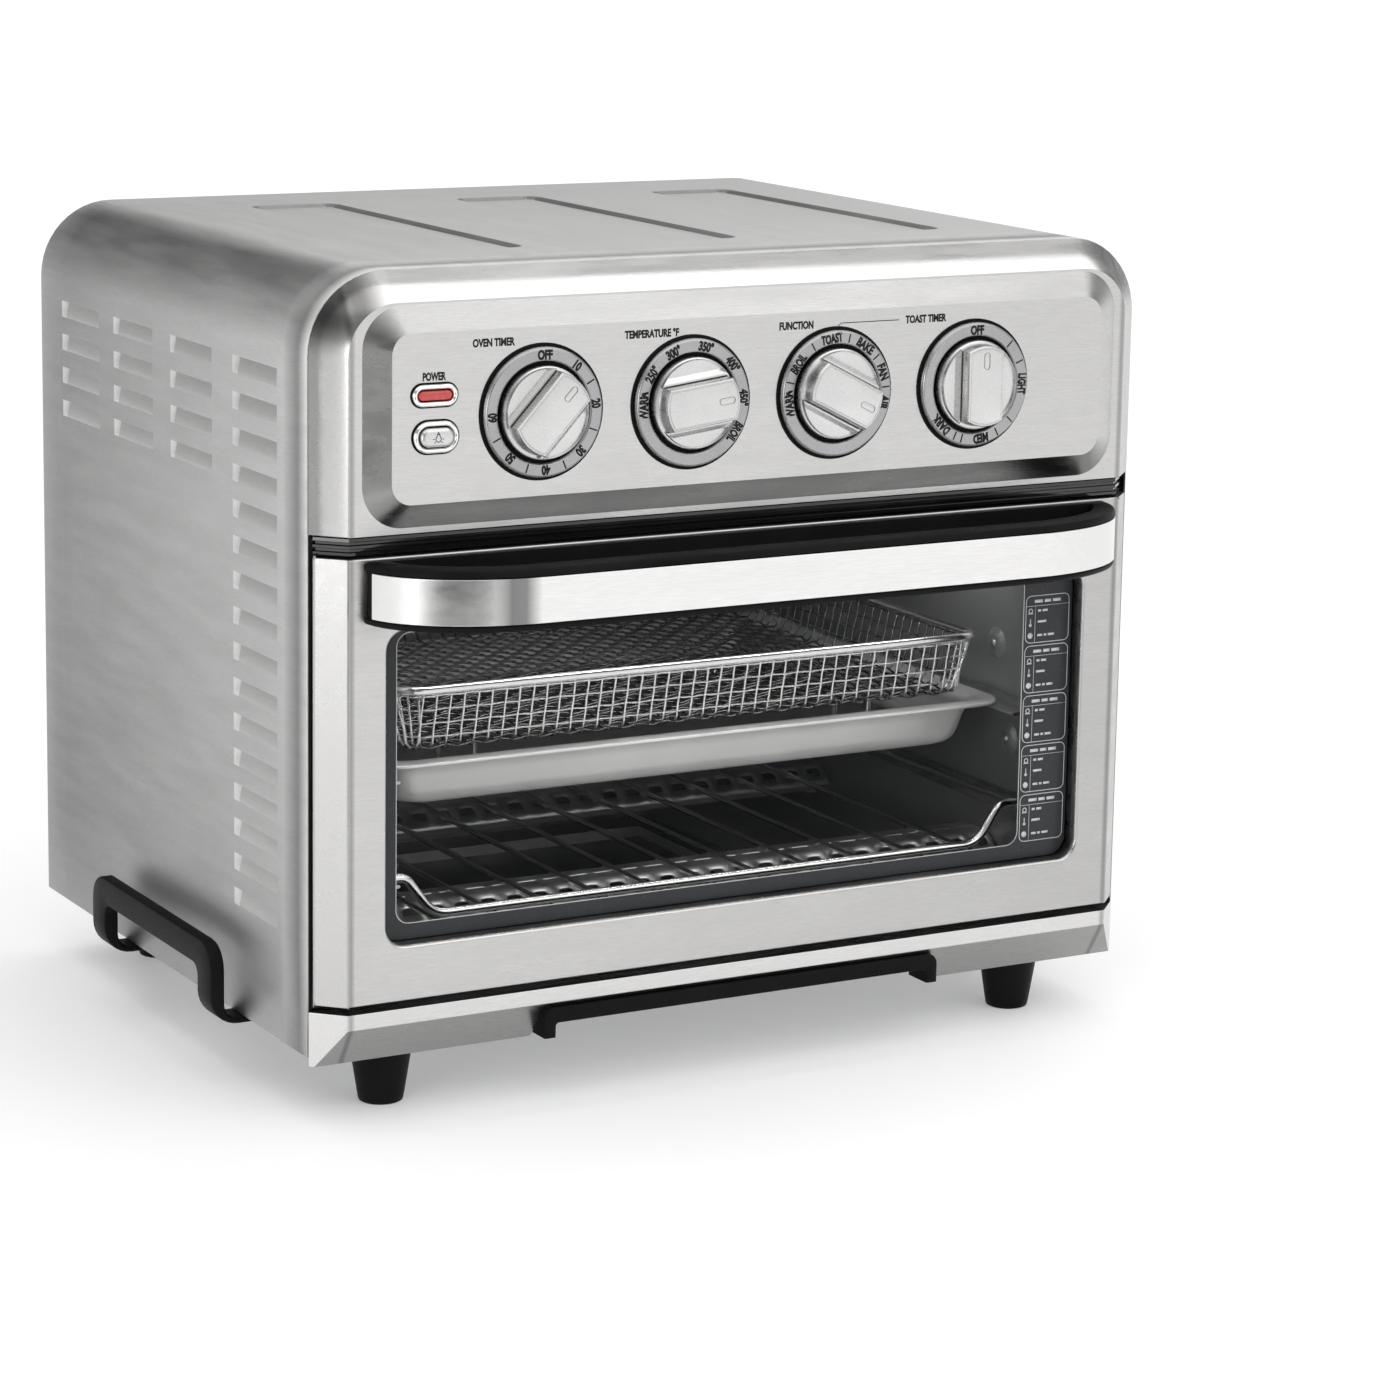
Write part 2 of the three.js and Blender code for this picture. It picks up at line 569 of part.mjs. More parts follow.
function fan() {
  const { ceiling } = CAVITY;
  const motor = addAll(cylinder("z", 0, FAN.y, ceiling + 3, ceiling + 34, 34, 34, 24), [
    box(-44, 44, FAN.y - 12, FAN.y + 12, ceiling + 1.4, ceiling + 3.4),
  ]);
  const shaftBore = cylinder("z", 0, FAN.y, 0, ceiling + 26, 4, 4, 16);
  piece("fan_motor", motor.subtract(shaftBore), galvanised());

  const hub = cylinder("z", 0, FAN.y, ceiling - 11, ceiling - 3, 9, 9, 16);
  const shaft = cylinder("z", 0, FAN.y, ceiling - 5, ceiling + 22, 3, 3, 16);
  const blades = [];
  for (let i = 0; i < 8; i++) {
    const angle = (i * 360) / 8;
    const vane = hull([
      V3(5, -1, ceiling - 10.5),
      V3(5, 1, ceiling - 10.5),
      V3(5, -1, ceiling - 3.5),
      V3(5, 1, ceiling - 3.5),
      V3(FAN.radius - 6, -14, ceiling - 10.5),
      V3(FAN.radius - 6, -12.5, ceiling - 10.5),
      V3(FAN.radius - 6, -8, ceiling - 3.5),
      V3(FAN.radius - 6, -6.5, ceiling - 3.5),
    ]);
    blades.push(vane.rotate([0, 0, angle]).translate([0, FAN.y, 0]));
  }
  piece("fan_blade", addAll(hub, [shaft, ...blades]), aluminium());

  const coverRadius = FAN.radius + 8;
  const profile = [
    V2(0, ceiling - 15),
    V2(coverRadius - 3, ceiling - 15),
    V2(coverRadius, ceiling - GAP),
    V2(coverRadius + 6, ceiling - GAP),
    V2(coverRadius + 6, ceiling - 1.5),
    V2(coverRadius + 1.2, ceiling - 1.5),
    V2(coverRadius - 2, ceiling - 16.2),
    V2(0, ceiling - 16.2),
  ];
  let cover = solid(lathe(profile, 24).rotateX(Math.PI / 2).translate(0, FAN.y, 0));
  for (let i = 0; i < 12; i++) {
    const slot = box(18, coverRadius - 10, -3, 3, ceiling - 20, ceiling - 12);
    cover = cover.subtract(slot.rotate([0, 0, i * 30]).translate([0, FAN.y, 0]));
  }
  piece("fan_cover", cover, galvanised());
}

// ---------- things that slide in and out ----------
function wireRack() {
  const radius = 1.5;
  const railX = 136;
  const endX = 157;
  const endZ = GUIDE_LOW + GAP + 2;
  const parts = [];
  for (const y of [RACK_FRONT, RACK_REAR]) {
    parts.push(bar(V3(-railX, y, RACK_Z), V3(railX, y, RACK_Z), 2, 6));
    for (const sign of [-1, 1]) {
      parts.push(bar(V3(sign * (railX - 1), y, RACK_Z), V3(sign * (endX - 8), y, endZ), 2, 6));
      parts.push(bar(V3(sign * (endX - 9), y, endZ), V3(sign * endX, y, endZ), 2, 6));
    }
  }
  for (const sign of [-1, 1]) {
    const x = sign * (endX - 1);
    parts.push(bar(V3(x, RACK_FRONT - 1, endZ), V3(x, RACK_REAR + 1, endZ), 2, 6));
  }
  for (let i = -5; i <= 5; i++) {
    const x = i * WIRE_PITCH;
    const z = RACK_Z - 2.4;
    parts.push(bar(V3(x, RACK_FRONT - 1.6, z), V3(x, RACK_REAR + 1.6, z), radius, 5));
  }
  piece("wire_rack", addAll(parts[0], parts.slice(1)), chrome());
}

function bakingPan() {
  const { halfW, front, rear, z0, z1 } = PAN;
  const rim = 9;
  const slope = 5;
  const outline = (inset, z, r) =>
    roundedRect(-halfW + inset, halfW - inset, front + inset, rear - inset, r)
      .getPoints(3)
      .map((p) => V3(p.x, p.y, z));
  const flange = alongZ(roundedRect(-halfW, halfW, front, rear, 16), z1 - 2.4, z1, 3);
  const bowl = hull([...outline(rim, z1 - 0.5, 10), ...outline(rim + slope, z0, 10)]);
  const inside = hull([...outline(rim + 1.5, z1 + 4, 9), ...outline(rim + slope + 1.5, z0 + 1.2, 9)]);
  piece("baking_pan", flange.add(bowl).subtract(inside), aluminium());
}

function airFryBasket() {
  const { halfW, front, rear, z0, z1 } = BASKET;
  const wall = 1.6;
  const outline = (inset, z, r) =>
    roundedRect(-halfW + inset, halfW - inset, front + inset, rear - inset, r)
      .getPoints(3)
      .map((p) => V3(p.x, p.y, z));
  const rim = alongZ(roundedRect(-halfW, halfW, front, rear, 12), z1 - 4, z1, 3);
  const bowl = hull([...outline(1.5, z1 - 1, 11), ...outline(9, z0, 8)]);
  const inside = hull([...outline(1.5 + wall + 1.5, z1 + 3, 9), ...outline(9 + wall, z0 + wall, 7)]);
  // Four wire feet stand in the pan.
  const feet = [];
  for (const x of [-100, 100]) {
    for (const y of [80, 220]) feet.push(cylinder("z", x, y, PAN.z0 + 1.2 + GAP, z0 + 1, 2.5, 2.5, 6));
  }
  piece("air_fry_basket", addAll(rim.add(bowl), feet).subtract(inside), chrome());
}

function crumbTray() {
  const { halfW, front, rear, z0, z1 } = TRAY;
  const tray = box(-halfW, halfW, front, rear, z0, z1);
  const inside = box(-halfW + 1, halfW - 1, front + 1, rear - 1, z0 + 1, z1 + 5);
  piece("crumb_tray", tray.subtract(inside), aluminium());

  // The pull lines the notch in the base rail, with its ends turned down to points.
  const top = RAIL.notchTop - GAP - 0.1;
  const halfTop = RAIL.notchHalfTop - 0.8;
  const low = RAIL.bottom + 0.5;
  const flare = (RAIL.notchHalfBottom - RAIL.notchHalfTop) / (RAIL.notchTop - RAIL.bottom);
  const halfLow = halfTop + (top - low) * flare;
  const outline = new THREE.Shape([
    V2(-halfLow, low),
    V2(-halfLow + PULL.tip, low),
    V2(-halfTop + PULL.arm, top - PULL.height),
    V2(halfTop - PULL.arm, top - PULL.height),
    V2(halfLow - PULL.tip, low),
    V2(halfLow, low),
    V2(halfTop, top),
    V2(-halfTop, top),
  ]);
  piece("crumb_tray_pull", alongY(outline, -1.5, front - GAP), blackPlastic());
}

// ---------- door ----------
const HINGE_X = 178.5; // middle of each hinge tongue
const TONGUE = { halfT: 2, radius: 3 };
const PIN_RADIUS = 1.5;

function door() {
  let frame = alongZ(frontPlan(0, DOOR_THICK, 0), DOOR_BOTTOM, DOOR_TOP);
  frame = frame.intersect(box(-198.6, 198.6, -1, DOOR_THICK, 0, 400));
  const window = roundedRect(-WINDOW.halfW, WINDOW.halfW, WINDOW.z0, WINDOW.z1, WINDOW.r);
  frame = frame.subtract(alongY(window, -5, 30, 5));
  for (const [, sign] of sides) {
    const x = sign * HINGE_X;
    const slotHalf = TONGUE.halfT + 0.5;
    const slotTop = HINGE_Z + TONGUE.radius + 0.8;
    frame = frame.subtract(box(x - slotHalf, x + slotHalf, HINGE_Y - 3.6, 30, 40, slotTop));
    const pinHole = cylinder("x", HINGE_Y, HINGE_Z, x - 6.3, x + 6.3, PIN_RADIUS + GAP, PIN_RADIUS + GAP, 16);
    frame = frame.subtract(pinHole);
  }
  // The skin is pressed sheet: hollow behind, with a return around the window and solid hinge corners.
  let hollow = alongZ(frontPlan(SHEET, DOOR_THICK + 5, 0.5), DOOR_BOTTOM + SHEET, DOOR_TOP - SHEET);
  hollow = hollow.intersect(box(-198.6 + SHEET, 198.6 - SHEET, 0, DOOR_THICK + 5, 0, 400));
  const { halfW, z0, z1, r } = WINDOW;
  const windowReturn = roundedRect(-halfW - SHEET, halfW + SHEET, z0 - SHEET, z1 + SHEET, r + SHEET);
  hollow = hollow.subtract(alongY(windowReturn, -5, 30, 5));
  for (const [, sign] of sides) {
    const x = sign * HINGE_X;
    hollow = hollow.subtract(box(x - 9, x + 9, -5, 30, 0, HINGE_Z + 8));
  }
  piece("door_frame", frame.subtract(hollow), brushed());

  const pane = roundedRect(
    -WINDOW.halfW + GAP,
    WINDOW.halfW - GAP,
    WINDOW.z0 + GAP,
    WINDOW.z1 - GAP,
    WINDOW.r
  );
  piece("door_glass", alongY(pane, GLASS_FRONT, GLASS_FRONT + GLASS_THICK, 5), look(0x3c3f42, 0.05, 0.0));

  const ring = roundedRect(-184, 184, 64, 226, 6);
  const hole = roundedRect(-164, 164, 80.5, 205, 6);
  const inner = alongY(ring, DOOR_THICK + GAP, DOOR_THICK + 1.8, 3).subtract(alongY(hole, 0, 30, 3));
  piece("door_inner_frame", inner, darkEnamel());

  for (const [side, sign] of sides) {
    const x = sign * HINGE_X;
    const neck = box(x - TONGUE.halfT, x + TONGUE.halfT, HINGE_Y, 13.4, HINGE_Z - 3, HINGE_Z + 3);
    const eye = cylinder("x", HINGE_Y, HINGE_Z, x - TONGUE.halfT, x + TONGUE.halfT, TONGUE.radius);
    const hole = cylinder("x", HINGE_Y, HINGE_Z, x - 9, x + 9, PIN_RADIUS + GAP, PIN_RADIUS + GAP, 16);
    piece(`hinge_bracket_${side}`, neck.add(eye).subtract(hole), galvanised());
    const pin = cylinder("x", HINGE_Y, HINGE_Z, x - 6, x + 6, PIN_RADIUS, PIN_RADIUS, 16);
    piece(`hinge_pin_${side}`, pin, chrome());
  }
}

// The bow of the handle seen from above, drawn in by the given inset.
function handlePlan(inset, back) {
  const { halfW, flatHalfW, reach } = HANDLE;
  const w = halfW - inset;
  const front = -reach + inset;
  const s = new THREE.Shape();
  s.moveTo(-w, back);
  s.bezierCurveTo(-w + 2, -24 + inset, -flatHalfW - 32, front, -flatHalfW, front);
  s.lineTo(flatHalfW, front);
  s.bezierCurveTo(flatHalfW + 32, front, w - 2, -24 + inset, w, back);
  return s;
}

function doorHandle() {
  const { z0, z1, band0, band1 } = HANDLE;
  const back = -GAP;
  const gapFront = 11;
  const layer = (inset, a, b) => alongZ(handlePlan(inset, back), a, b, 8);
  const body = addAll(layer(0, z0, band0 - GAP), [
    layer(1.5, band0 - GAP - 0.01, band1 + GAP + 0.01),
    layer(0, band1 + GAP, z1),
  ]);
  const fingerGap = alongZ(handlePlan(gapFront, -3.4), z0 - 5, z1 + 5, 8);
  piece("door_handle", body.subtract(fingerGap), blackPlastic());

  const behindBand = alongZ(handlePlan(1.5 - GAP, back), band0 - 5, band1 + 5, 8);
  const band = alongZ(handlePlan(0, back), band0, band1, 8).subtract(behindBand);
  const ends = box(-400, 400, -3, 20, 0, 400);
  piece("door_handle_band", band.subtract(ends), brushed());
}

// ---------- assembly ----------
outerWrap();
rearCover();
basePlate();
sideHandles();
controlPanel();
lampAndButton();
knobs();
strips();
cavity();
fan();
wireRack();
bakingPan();
airFryBasket();
crumbTray();
door();
doorHandle();

const oven = new THREE.Group();
oven.add(...pieces);
oven.position.y = (HANDLE.reach - BODY_REAR) / 2;
oven.updateMatrixWorld(true);

export default oven;
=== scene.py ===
import math

import bmesh
import bpy
from mathutils import Matrix, Vector
from mathutils.geometry import tessellate_polygon


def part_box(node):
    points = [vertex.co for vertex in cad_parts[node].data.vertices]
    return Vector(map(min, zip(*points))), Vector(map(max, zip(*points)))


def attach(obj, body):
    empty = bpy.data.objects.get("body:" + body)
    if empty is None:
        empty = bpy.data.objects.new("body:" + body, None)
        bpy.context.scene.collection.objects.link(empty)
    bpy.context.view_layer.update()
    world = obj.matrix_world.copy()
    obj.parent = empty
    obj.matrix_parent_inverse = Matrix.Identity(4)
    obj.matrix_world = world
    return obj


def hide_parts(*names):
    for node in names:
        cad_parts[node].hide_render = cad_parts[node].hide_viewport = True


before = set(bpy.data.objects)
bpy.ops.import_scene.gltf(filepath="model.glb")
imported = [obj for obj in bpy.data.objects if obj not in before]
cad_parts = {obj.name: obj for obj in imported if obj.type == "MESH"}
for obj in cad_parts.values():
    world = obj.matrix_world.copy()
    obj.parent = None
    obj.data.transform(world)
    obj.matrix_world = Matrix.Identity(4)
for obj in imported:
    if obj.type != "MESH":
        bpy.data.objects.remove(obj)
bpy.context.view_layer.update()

# Shapes below are written in millimetres, with y counted from the door's front plane and z from the table.
MM = 0.001
FRONT_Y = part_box("door_frame")[0].y
ROOT = "oven"
SIDES = (("left", -1), ("right", 1))


def cad(node):
    """Lowest and highest corner of a CAD node, in millimetres from the door's front plane."""
    shift = Vector((0, FRONT_Y, 0))
    return tuple((corner - shift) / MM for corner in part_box(node))


def middle(node):
    lo, hi = cad(node)
    return ((lo.x + hi.x) / 2, (lo.z + hi.z) / 2)


def sweep(start, end, steps):
    """Angles from start to end, both included; degrees in, radians out."""
    return [math.radians(start + (end - start) * i / steps) for i in range(steps + 1)]


# ---------------------------------------------------------------- materials
class Nodes:
    """Short calls for the nodes of one tree."""

    def __init__(self, tree):
        self.tree = tree

    def new(self, kind, **settings):
        node = self.tree.nodes.new("ShaderNode" + kind)
        for key, value in settings.items():
            setattr(node, key, value)
        return node

    def set(self, node, socket, value):
        node.inputs[socket].default_value = value

    def link(self, out, into):
        self.tree.links.new(out, into)

    def noise(self, scale, detail=2.0, rough=0.55):
        """Noise in object space; scale is one number, or one for each axis."""
        squeeze = self.new("Mapping")
        cloud = self.new("TexNoise")
        stretched = isinstance(scale, tuple)
        self.set(squeeze, "Scale", scale if stretched else (1, 1, 1))
        self.set(cloud, "Scale", 1 if stretched else scale)
        self.set(cloud, "Detail", detail)
        self.set(cloud, "Roughness", rough)
        self.link(self.new("TexCoord").outputs["Object"], squeeze.inputs["Vector"])
        self.link(squeeze.outputs["Vector"], cloud.inputs["Vector"])
        return cloud.outputs["Fac"]

    def remap(self, value, low, high, from_low=0.3, from_high=0.7):
        ramp = self.new("MapRange")
        for socket, number in (("From Min", from_low), ("From Max", from_high), ("To Min", low), ("To Max", high)):
            self.set(ramp, socket, number)
        self.link(value, ramp.inputs["Value"])
        return ramp.outputs["Result"]

    def mix(self, kind, factor, first, second):
        """Mixes two colours; each is a colour's numbers or another node's output."""
        mix = self.new("Mix", data_type="RGBA", blend_type=kind)
        self.link(factor, mix.inputs["Factor"])
        for socket, colour in ((mix.inputs[6], first), (mix.inputs[7], second)):
            if isinstance(colour, tuple):
                socket.default_value = (*colour, 1)
            else:
                self.link(colour, socket)
        return mix.outputs[2]

    def part(self, vector, axis):
        split = self.new("SeparateXYZ")
        self.link(vector, split.inputs["Vector"])
        return split.outputs[axis]

    def lies(self, axis):
        """One object coordinate, in metres."""
        return self.part(self.new("TexCoord").outputs["Object"], axis)

    def faces(self, axis):
        """One coordinate of the surface's direction."""
        return self.part(self.new("TexCoord").outputs["Normal"], axis)

    def math(self, operation, value, second=0.0):
        step = self.new("Math", operation=operation)
        self.link(value, step.inputs[0])
        if isinstance(second, (int, float)):
            step.inputs[1].default_value = second
        else:
            self.link(second, step.inputs[1])
        return step.outputs["Value"]

    def size(self, value):
        return self.math("ABSOLUTE", value)

    def shade(self, colour, share, tone):
        """The colour itself where share is 0, and tone times as bright where it is 1."""
        return self.mix("MULTIPLY", share, colour, (tone, tone, tone))


class Surface(Nodes):
    """A material on one Principled shader."""

    def __init__(self, name, colour, roughness, metallic=0.0, **constants):
        self.material = bpy.data.materials.new(name)
        self.material.use_nodes = True
        super().__init__(self.material.node_tree)
        self.shader = self.tree.nodes["Principled BSDF"]
        values = {"Base Color": (*colour, 1.0), "Roughness": roughness, "Metallic": metallic}
        values |= {socket.replace("_", " "): value for socket, value in constants.items()}
        for socket, value in values.items():
            self.set(self.shader, socket, value)
        self.material.diffuse_color = (*colour, 1.0)

    def to(self, socket, value):
        self.link(value, self.shader.inputs[socket])

    def bump(self, height, depth):
        node = self.new("Bump")
        self.set(node, "Strength", 1.0)
        self.set(node, "Distance", depth)
        self.link(height, node.inputs["Height"])
        self.to("Normal", node.outputs["Normal"])


def shade_share(s, kind, axis, begin, full):
    """Where one painted shade or painted highlight of a brushed sheet shows, from 0 to 1.

    "lies" and "side" follow a place along the axis, the other kinds the way the surface faces.
    """
    share = s.remap(s.lies(axis) if kind in ("lies", "side") else s.faces(axis), 0.0, 1.0, begin, full)
    limits = {
        "side": lambda: s.remap(s.size(s.faces("X")), 0.0, 1.0, 0.4, 1.0),
        "inner": lambda: s.remap(s.size(s.lies("X")), 1.0, 0.0, 0.183, 0.186),
        "recess": lambda: s.remap(s.lies("Y"), 0.0, 1.0, -0.125, -0.115),
        "corner": lambda: s.remap(s.size(s.faces("X")), 0.0, 1.0, 0.1, 0.45),
    }
    return s.math("MULTIPLY", share, limits[kind]()) if kind in limits else share


def brushed(name, tone, grain, low, high, depth=0.00003, painted_dark_line=None, shades=()):
    """Brushed steel: fine scratches along one axis over a faint, softer mottling.

    The dark line is (x in millimetres, half width, soft edge, tone left, both sides), a painted dark reflection
    where the sheet bends or across a band. Shades are (kind, axis, from, to, tone): painted shade and painted
    highlights, for tones that soft light alone doesn't give.
    """
    s = Surface(name, tone, 0.34, 1.0)
    fine = s.noise(tuple(150 if axis == grain else 2300 for axis in "xyz"), 3, 0.6)
    broad = s.noise(tuple(18 if axis == grain else 120 for axis in "xyz"))
    colour = s.mix("MIX", s.remap(fine, 0.0, 1.0), tuple(c * 0.9 for c in tone), tone)
    # Painted reflection: a soft dark stripe multiplied into the colour.
    if painted_dark_line:
        centre, half, soft, left, mirrored = painted_dark_line
        across = s.size(s.lies("X")) if mirrored else s.lies("X")
        away = s.size(s.math("SUBTRACT", across, centre * MM))
        colour = s.shade(colour, s.remap(away, 1.0, 0.0, half * MM, (half + soft) * MM), left)
    # Painted shade and painted highlights, multiplied into the colour.
    for *where, left in shades:
        colour = s.shade(colour, shade_share(s, *where), left)
    s.to("Base Color", colour)
    s.to("Roughness", s.remap(broad, low, high))
    s.bump(fine, depth)
    return s.material


def finish(name, tone, roughness, metallic=0.0, mottle=None, gloss=None, relief=None, **constants):
    """A material on plain noise: mottle varies its tone, gloss its roughness, relief its height.

    Each starts with the noise's scale and detail. Mottle ends with two tones, as shares of the material's own.
    """
    s = Surface(name, tone, roughness, metallic, **constants)
    if mottle:
        ends = [end if isinstance(end, tuple) else tuple(c * end for c in tone) for end in mottle[2:]]
        s.to("Base Color", s.mix("MIX", s.remap(s.noise(*mottle[:2]), 0, 1), *ends))
    if gloss:
        s.to("Roughness", s.remap(s.noise(*gloss[:2]), *gloss[2:]))
    if relief:
        s.bump(s.noise(*relief[:2]), relief[2])
    return s.material


def grey(tone, tint=1.0):
    """A near grey: green and blue lie one and two steps of the tint off red."""
    return (tone, tone * tint, tone * (2 * tint - 1))


TURNED = (1400, 60, 1400)


def turned_metal(name, tone, rough):
    gloss = (TURNED, 3, rough - 0.06, rough + 0.08)
    return finish(name, tone, rough, 1.0, (40, 2, 0.9, 1), gloss, (TURNED, 3, 0.00001))


def bright_wire(name, tone, low, high):
    return finish(name, (tone, tone, tone * 0.99), 0.12, 1.0, gloss=(300, 2, low, high))


def zinc_sheet(name, tone):
    return finish(name, grey(tone, 1.01), 0.4, 1.0, (90, 3, 0.86, 1.08), (90, 3, 0.32, 0.48), (700, 2, 0.00002))


def pan_aluminium():
    """Its inside, below the rim and facing up, is painted far darker than the outside and the rim: painted shade."""
    s = Surface("pan_aluminium", (0.92, 0.92, 0.9), 0.36, 0.55)
    s.to("Roughness", s.remap(s.noise(60, 3), 0.34, 0.48))
    colour = s.mix("MIX", s.remap(s.noise(14), 0, 1), (0.86, 0.86, 0.84), (0.96, 0.96, 0.94))
    # Painted shade: faces turned up below the rim are darkened to a tenth.
    upward, below_rim = s.remap(s.faces("Z"), 0.0, 1.0, 0.1, 0.6), s.remap(s.lies("Z"), 1.0, 0.0, 0.137, 0.14)
    s.to("Base Color", s.shade(colour, s.math("MULTIPLY", upward, below_rim), 0.1))
    s.bump(s.noise(500), 0.00001)
    return s.material


def coated_steel(name, tone, metallic, low, high):
    return finish(name, tone, (low + high) / 2, metallic, (9, 3, 0.8, 1), (25, 3, low, high), (900, 2, 0.00003))


def printed(name, tone, rough):
    return finish(
        name, tone, rough, 0.0, (50, 2, 0.92, 1), (200, 2, rough - 0.04, rough + 0.06), Specular_IOR_Level=0.2
    )


def frosted(name, tone, rough):
    gloss = (90, 2, rough - 0.08, rough + 0.1)
    return finish(name, tone, rough, 0.0, (35, 3, 0.88, 1), gloss, (1200, 2, 0.00002), Specular_IOR_Level=0.5)


def dark_card():
    """A black card with a soft rim."""
    s = Surface("studio_card", (0.04, 0.04, 0.04), 0.9, Specular_IOR_Level=0.0)
    away = s.new("VectorMath", operation="LENGTH")
    s.link(s.new("TexCoord").outputs["Object"], away.inputs[0])
    s.to("Alpha", s.remap(away.outputs["Value"], 1, 0, 0.5, 0.95))
    return s.material


# Painted dark reflections: a soft dark line along the front pieces' bend, and a dark stripe across the handle's band.
BEND_PAINTED_REFLECTION = (186.6, 0.3, 1.6, 0.6, True)
BAND_PAINTED_REFLECTION = (-131, 3.0, 7.0, 0.3, False)
# Panel steel with painted shade on faces turned down, on the emboss's left and upper slopes and its rounded corners,
# slightly darker towards the right, and a painted highlight on the top chamfer.
steel_x = brushed(
    "brushed_steel", (0.6, 0.595, 0.585), "x", 0.22, 0.34, painted_dark_line=BEND_PAINTED_REFLECTION,
    shades=(
        ("faces", "Z", -0.05, -0.42, 0.34), ("inner", "X", -0.12, -0.4, 0.7), ("lies", "X", -0.1, 0.2, 0.95),
        ("faces", "Z", 0.2, 0.4, 0.78), ("faces", "Z", 0.55, 0.68, 1.75), ("corner", "Z", 0.15, 0.45, 0.4),
    ),
)
# Painted shade on the rail's lower, downward facing facet.
steel_rail = brushed(
    "brushed_steel_rail", (0.68, 0.675, 0.665), "x", 0.22, 0.34, painted_dark_line=BEND_PAINTED_REFLECTION,
    shades=(("faces", "Z", -0.1, -0.5, 0.5),),
)
# Door steel, painted slightly darker towards the right: painted shade.
steel_door = brushed(
    "brushed_steel_door", (0.56, 0.555, 0.545), "x", 0.24, 0.36, painted_dark_line=BEND_PAINTED_REFLECTION,
    shades=(("lies", "X", -0.1, 0.2, 0.86),),
)
# Wrap steel with painted shade: its sides darker towards the rear and the bottom, the whole darker towards the rear, a
# dark band along the top's rounded edges, and the recesses' forward-facing ends.
steel_y = brushed(
    "brushed_steel_wrap", (0.68, 0.675, 0.67), "y", 0.46, 0.58,
    shades=(
        ("side", "Y", -0.13, 0.2, 0.62), ("side", "Z", 0.34, 0.05, 0.76), ("lies", "Y", -0.12, 0.17, 0.84),
        ("corner", "Z", 0.5, 0.85, 0.46), ("recess", "Y", -0.15, -0.5, 0.45),
    ),
)
# Darker and brighter copies of the wrap's steel for the louvers: painted shade on their faces, a painted highlight on
# their rear ramps.
louver_painted_shade = brushed("brushed_steel_louver", (0.53, 0.525, 0.52), "y", 0.4, 0.5)
louver_end_painted_highlight = brushed("brushed_steel_louver_end", (0.72, 0.715, 0.71), "y", 0.4, 0.5)
band_steel = brushed("brushed_steel_band", (0.78, 0.775, 0.765), "x", 0.16, 0.24, 0.00001, BAND_PAINTED_REFLECTION)
satin = turned_metal("satin_trim", (0.4, 0.4, 0.405), 0.3)
knob_metal = turned_metal("satin_knob", (0.66, 0.655, 0.65), 0.3)
chrome = bright_wire("chrome_wire", 0.86, 0.07, 0.2)
basket_wire = bright_wire("basket_wire", 0.95, 0.22, 0.34)
# A dark copy of the basket wire, for all but the front wall's wires: painted shade.
shaded_basket_wire = bright_wire("basket_wire_painted_shade", 0.17, 0.16, 0.28)
rim_rod = bright_wire("basket_rim_rod", 0.95, 0.2, 0.26)
zinc = zinc_sheet("zinc_sheet", 0.56)
# A brighter copy of the zinc sheet, for the heater guards deep inside: painted light.
zinc_painted_light = zinc_sheet("zinc_sheet_bright", 0.86)
aluminium = pan_aluminium()
enamel = coated_steel("dark_enamel", (0.42, 0.425, 0.43), 0.7, 0.3, 0.44)
frame_black = coated_steel("black_enamel", (0.02, 0.021, 0.022), 0.0, 0.35, 0.5)
black = finish(
    "black_plastic", grey(0.005), 0.42, 0.0, (30, 2, 0.8, 1.4), (1300, 2, 0.4, 0.55), (1300, 2, 0.00004),
    Specular_IOR_Level=0.08,
)
gloss_black = finish(
    "gloss_black", (0.008, 0.008, 0.009), 0.08, gloss=(60, 2, 0.05, 0.13), Coat_Weight=0.5, Coat_Roughness=0.03
)
dark_print = printed("dark_print", (0.035, 0.038, 0.042), 0.22)
pale_print = printed("pale_print", (0.62, 0.63, 0.64), 0.4)
black_print = printed("black_print", grey(0.01), 0.4)
glass = finish("door_glass", (0.008, 0.009, 0.01), 0.03, Alpha=0.09, Specular_IOR_Level=0.25)
lens = finish(
    "red_lens", (0.45, 0.035, 0.03), 0.12, mottle=(260, 2, (0.36, 0.025, 0.02), (0.55, 0.06, 0.05)),
    Coat_Weight=0.6, Coat_Roughness=0.04,
)
quartz = frosted("quartz", (0.72, 0.7, 0.66), 0.45)
lamp_glass = frosted("lamp_glass", (0.85, 0.83, 0.76), 0.2)
ceramic = frosted("ceramic", (0.74, 0.72, 0.66), 0.6)
pale_floor = finish(
    "pale_floor", (0.82, 0.82, 0.825), 0.6, gloss=(3, 2, 0.55, 0.65),
    Emission_Color=(1, 1, 1, 1), Emission_Strength=0.22,
)


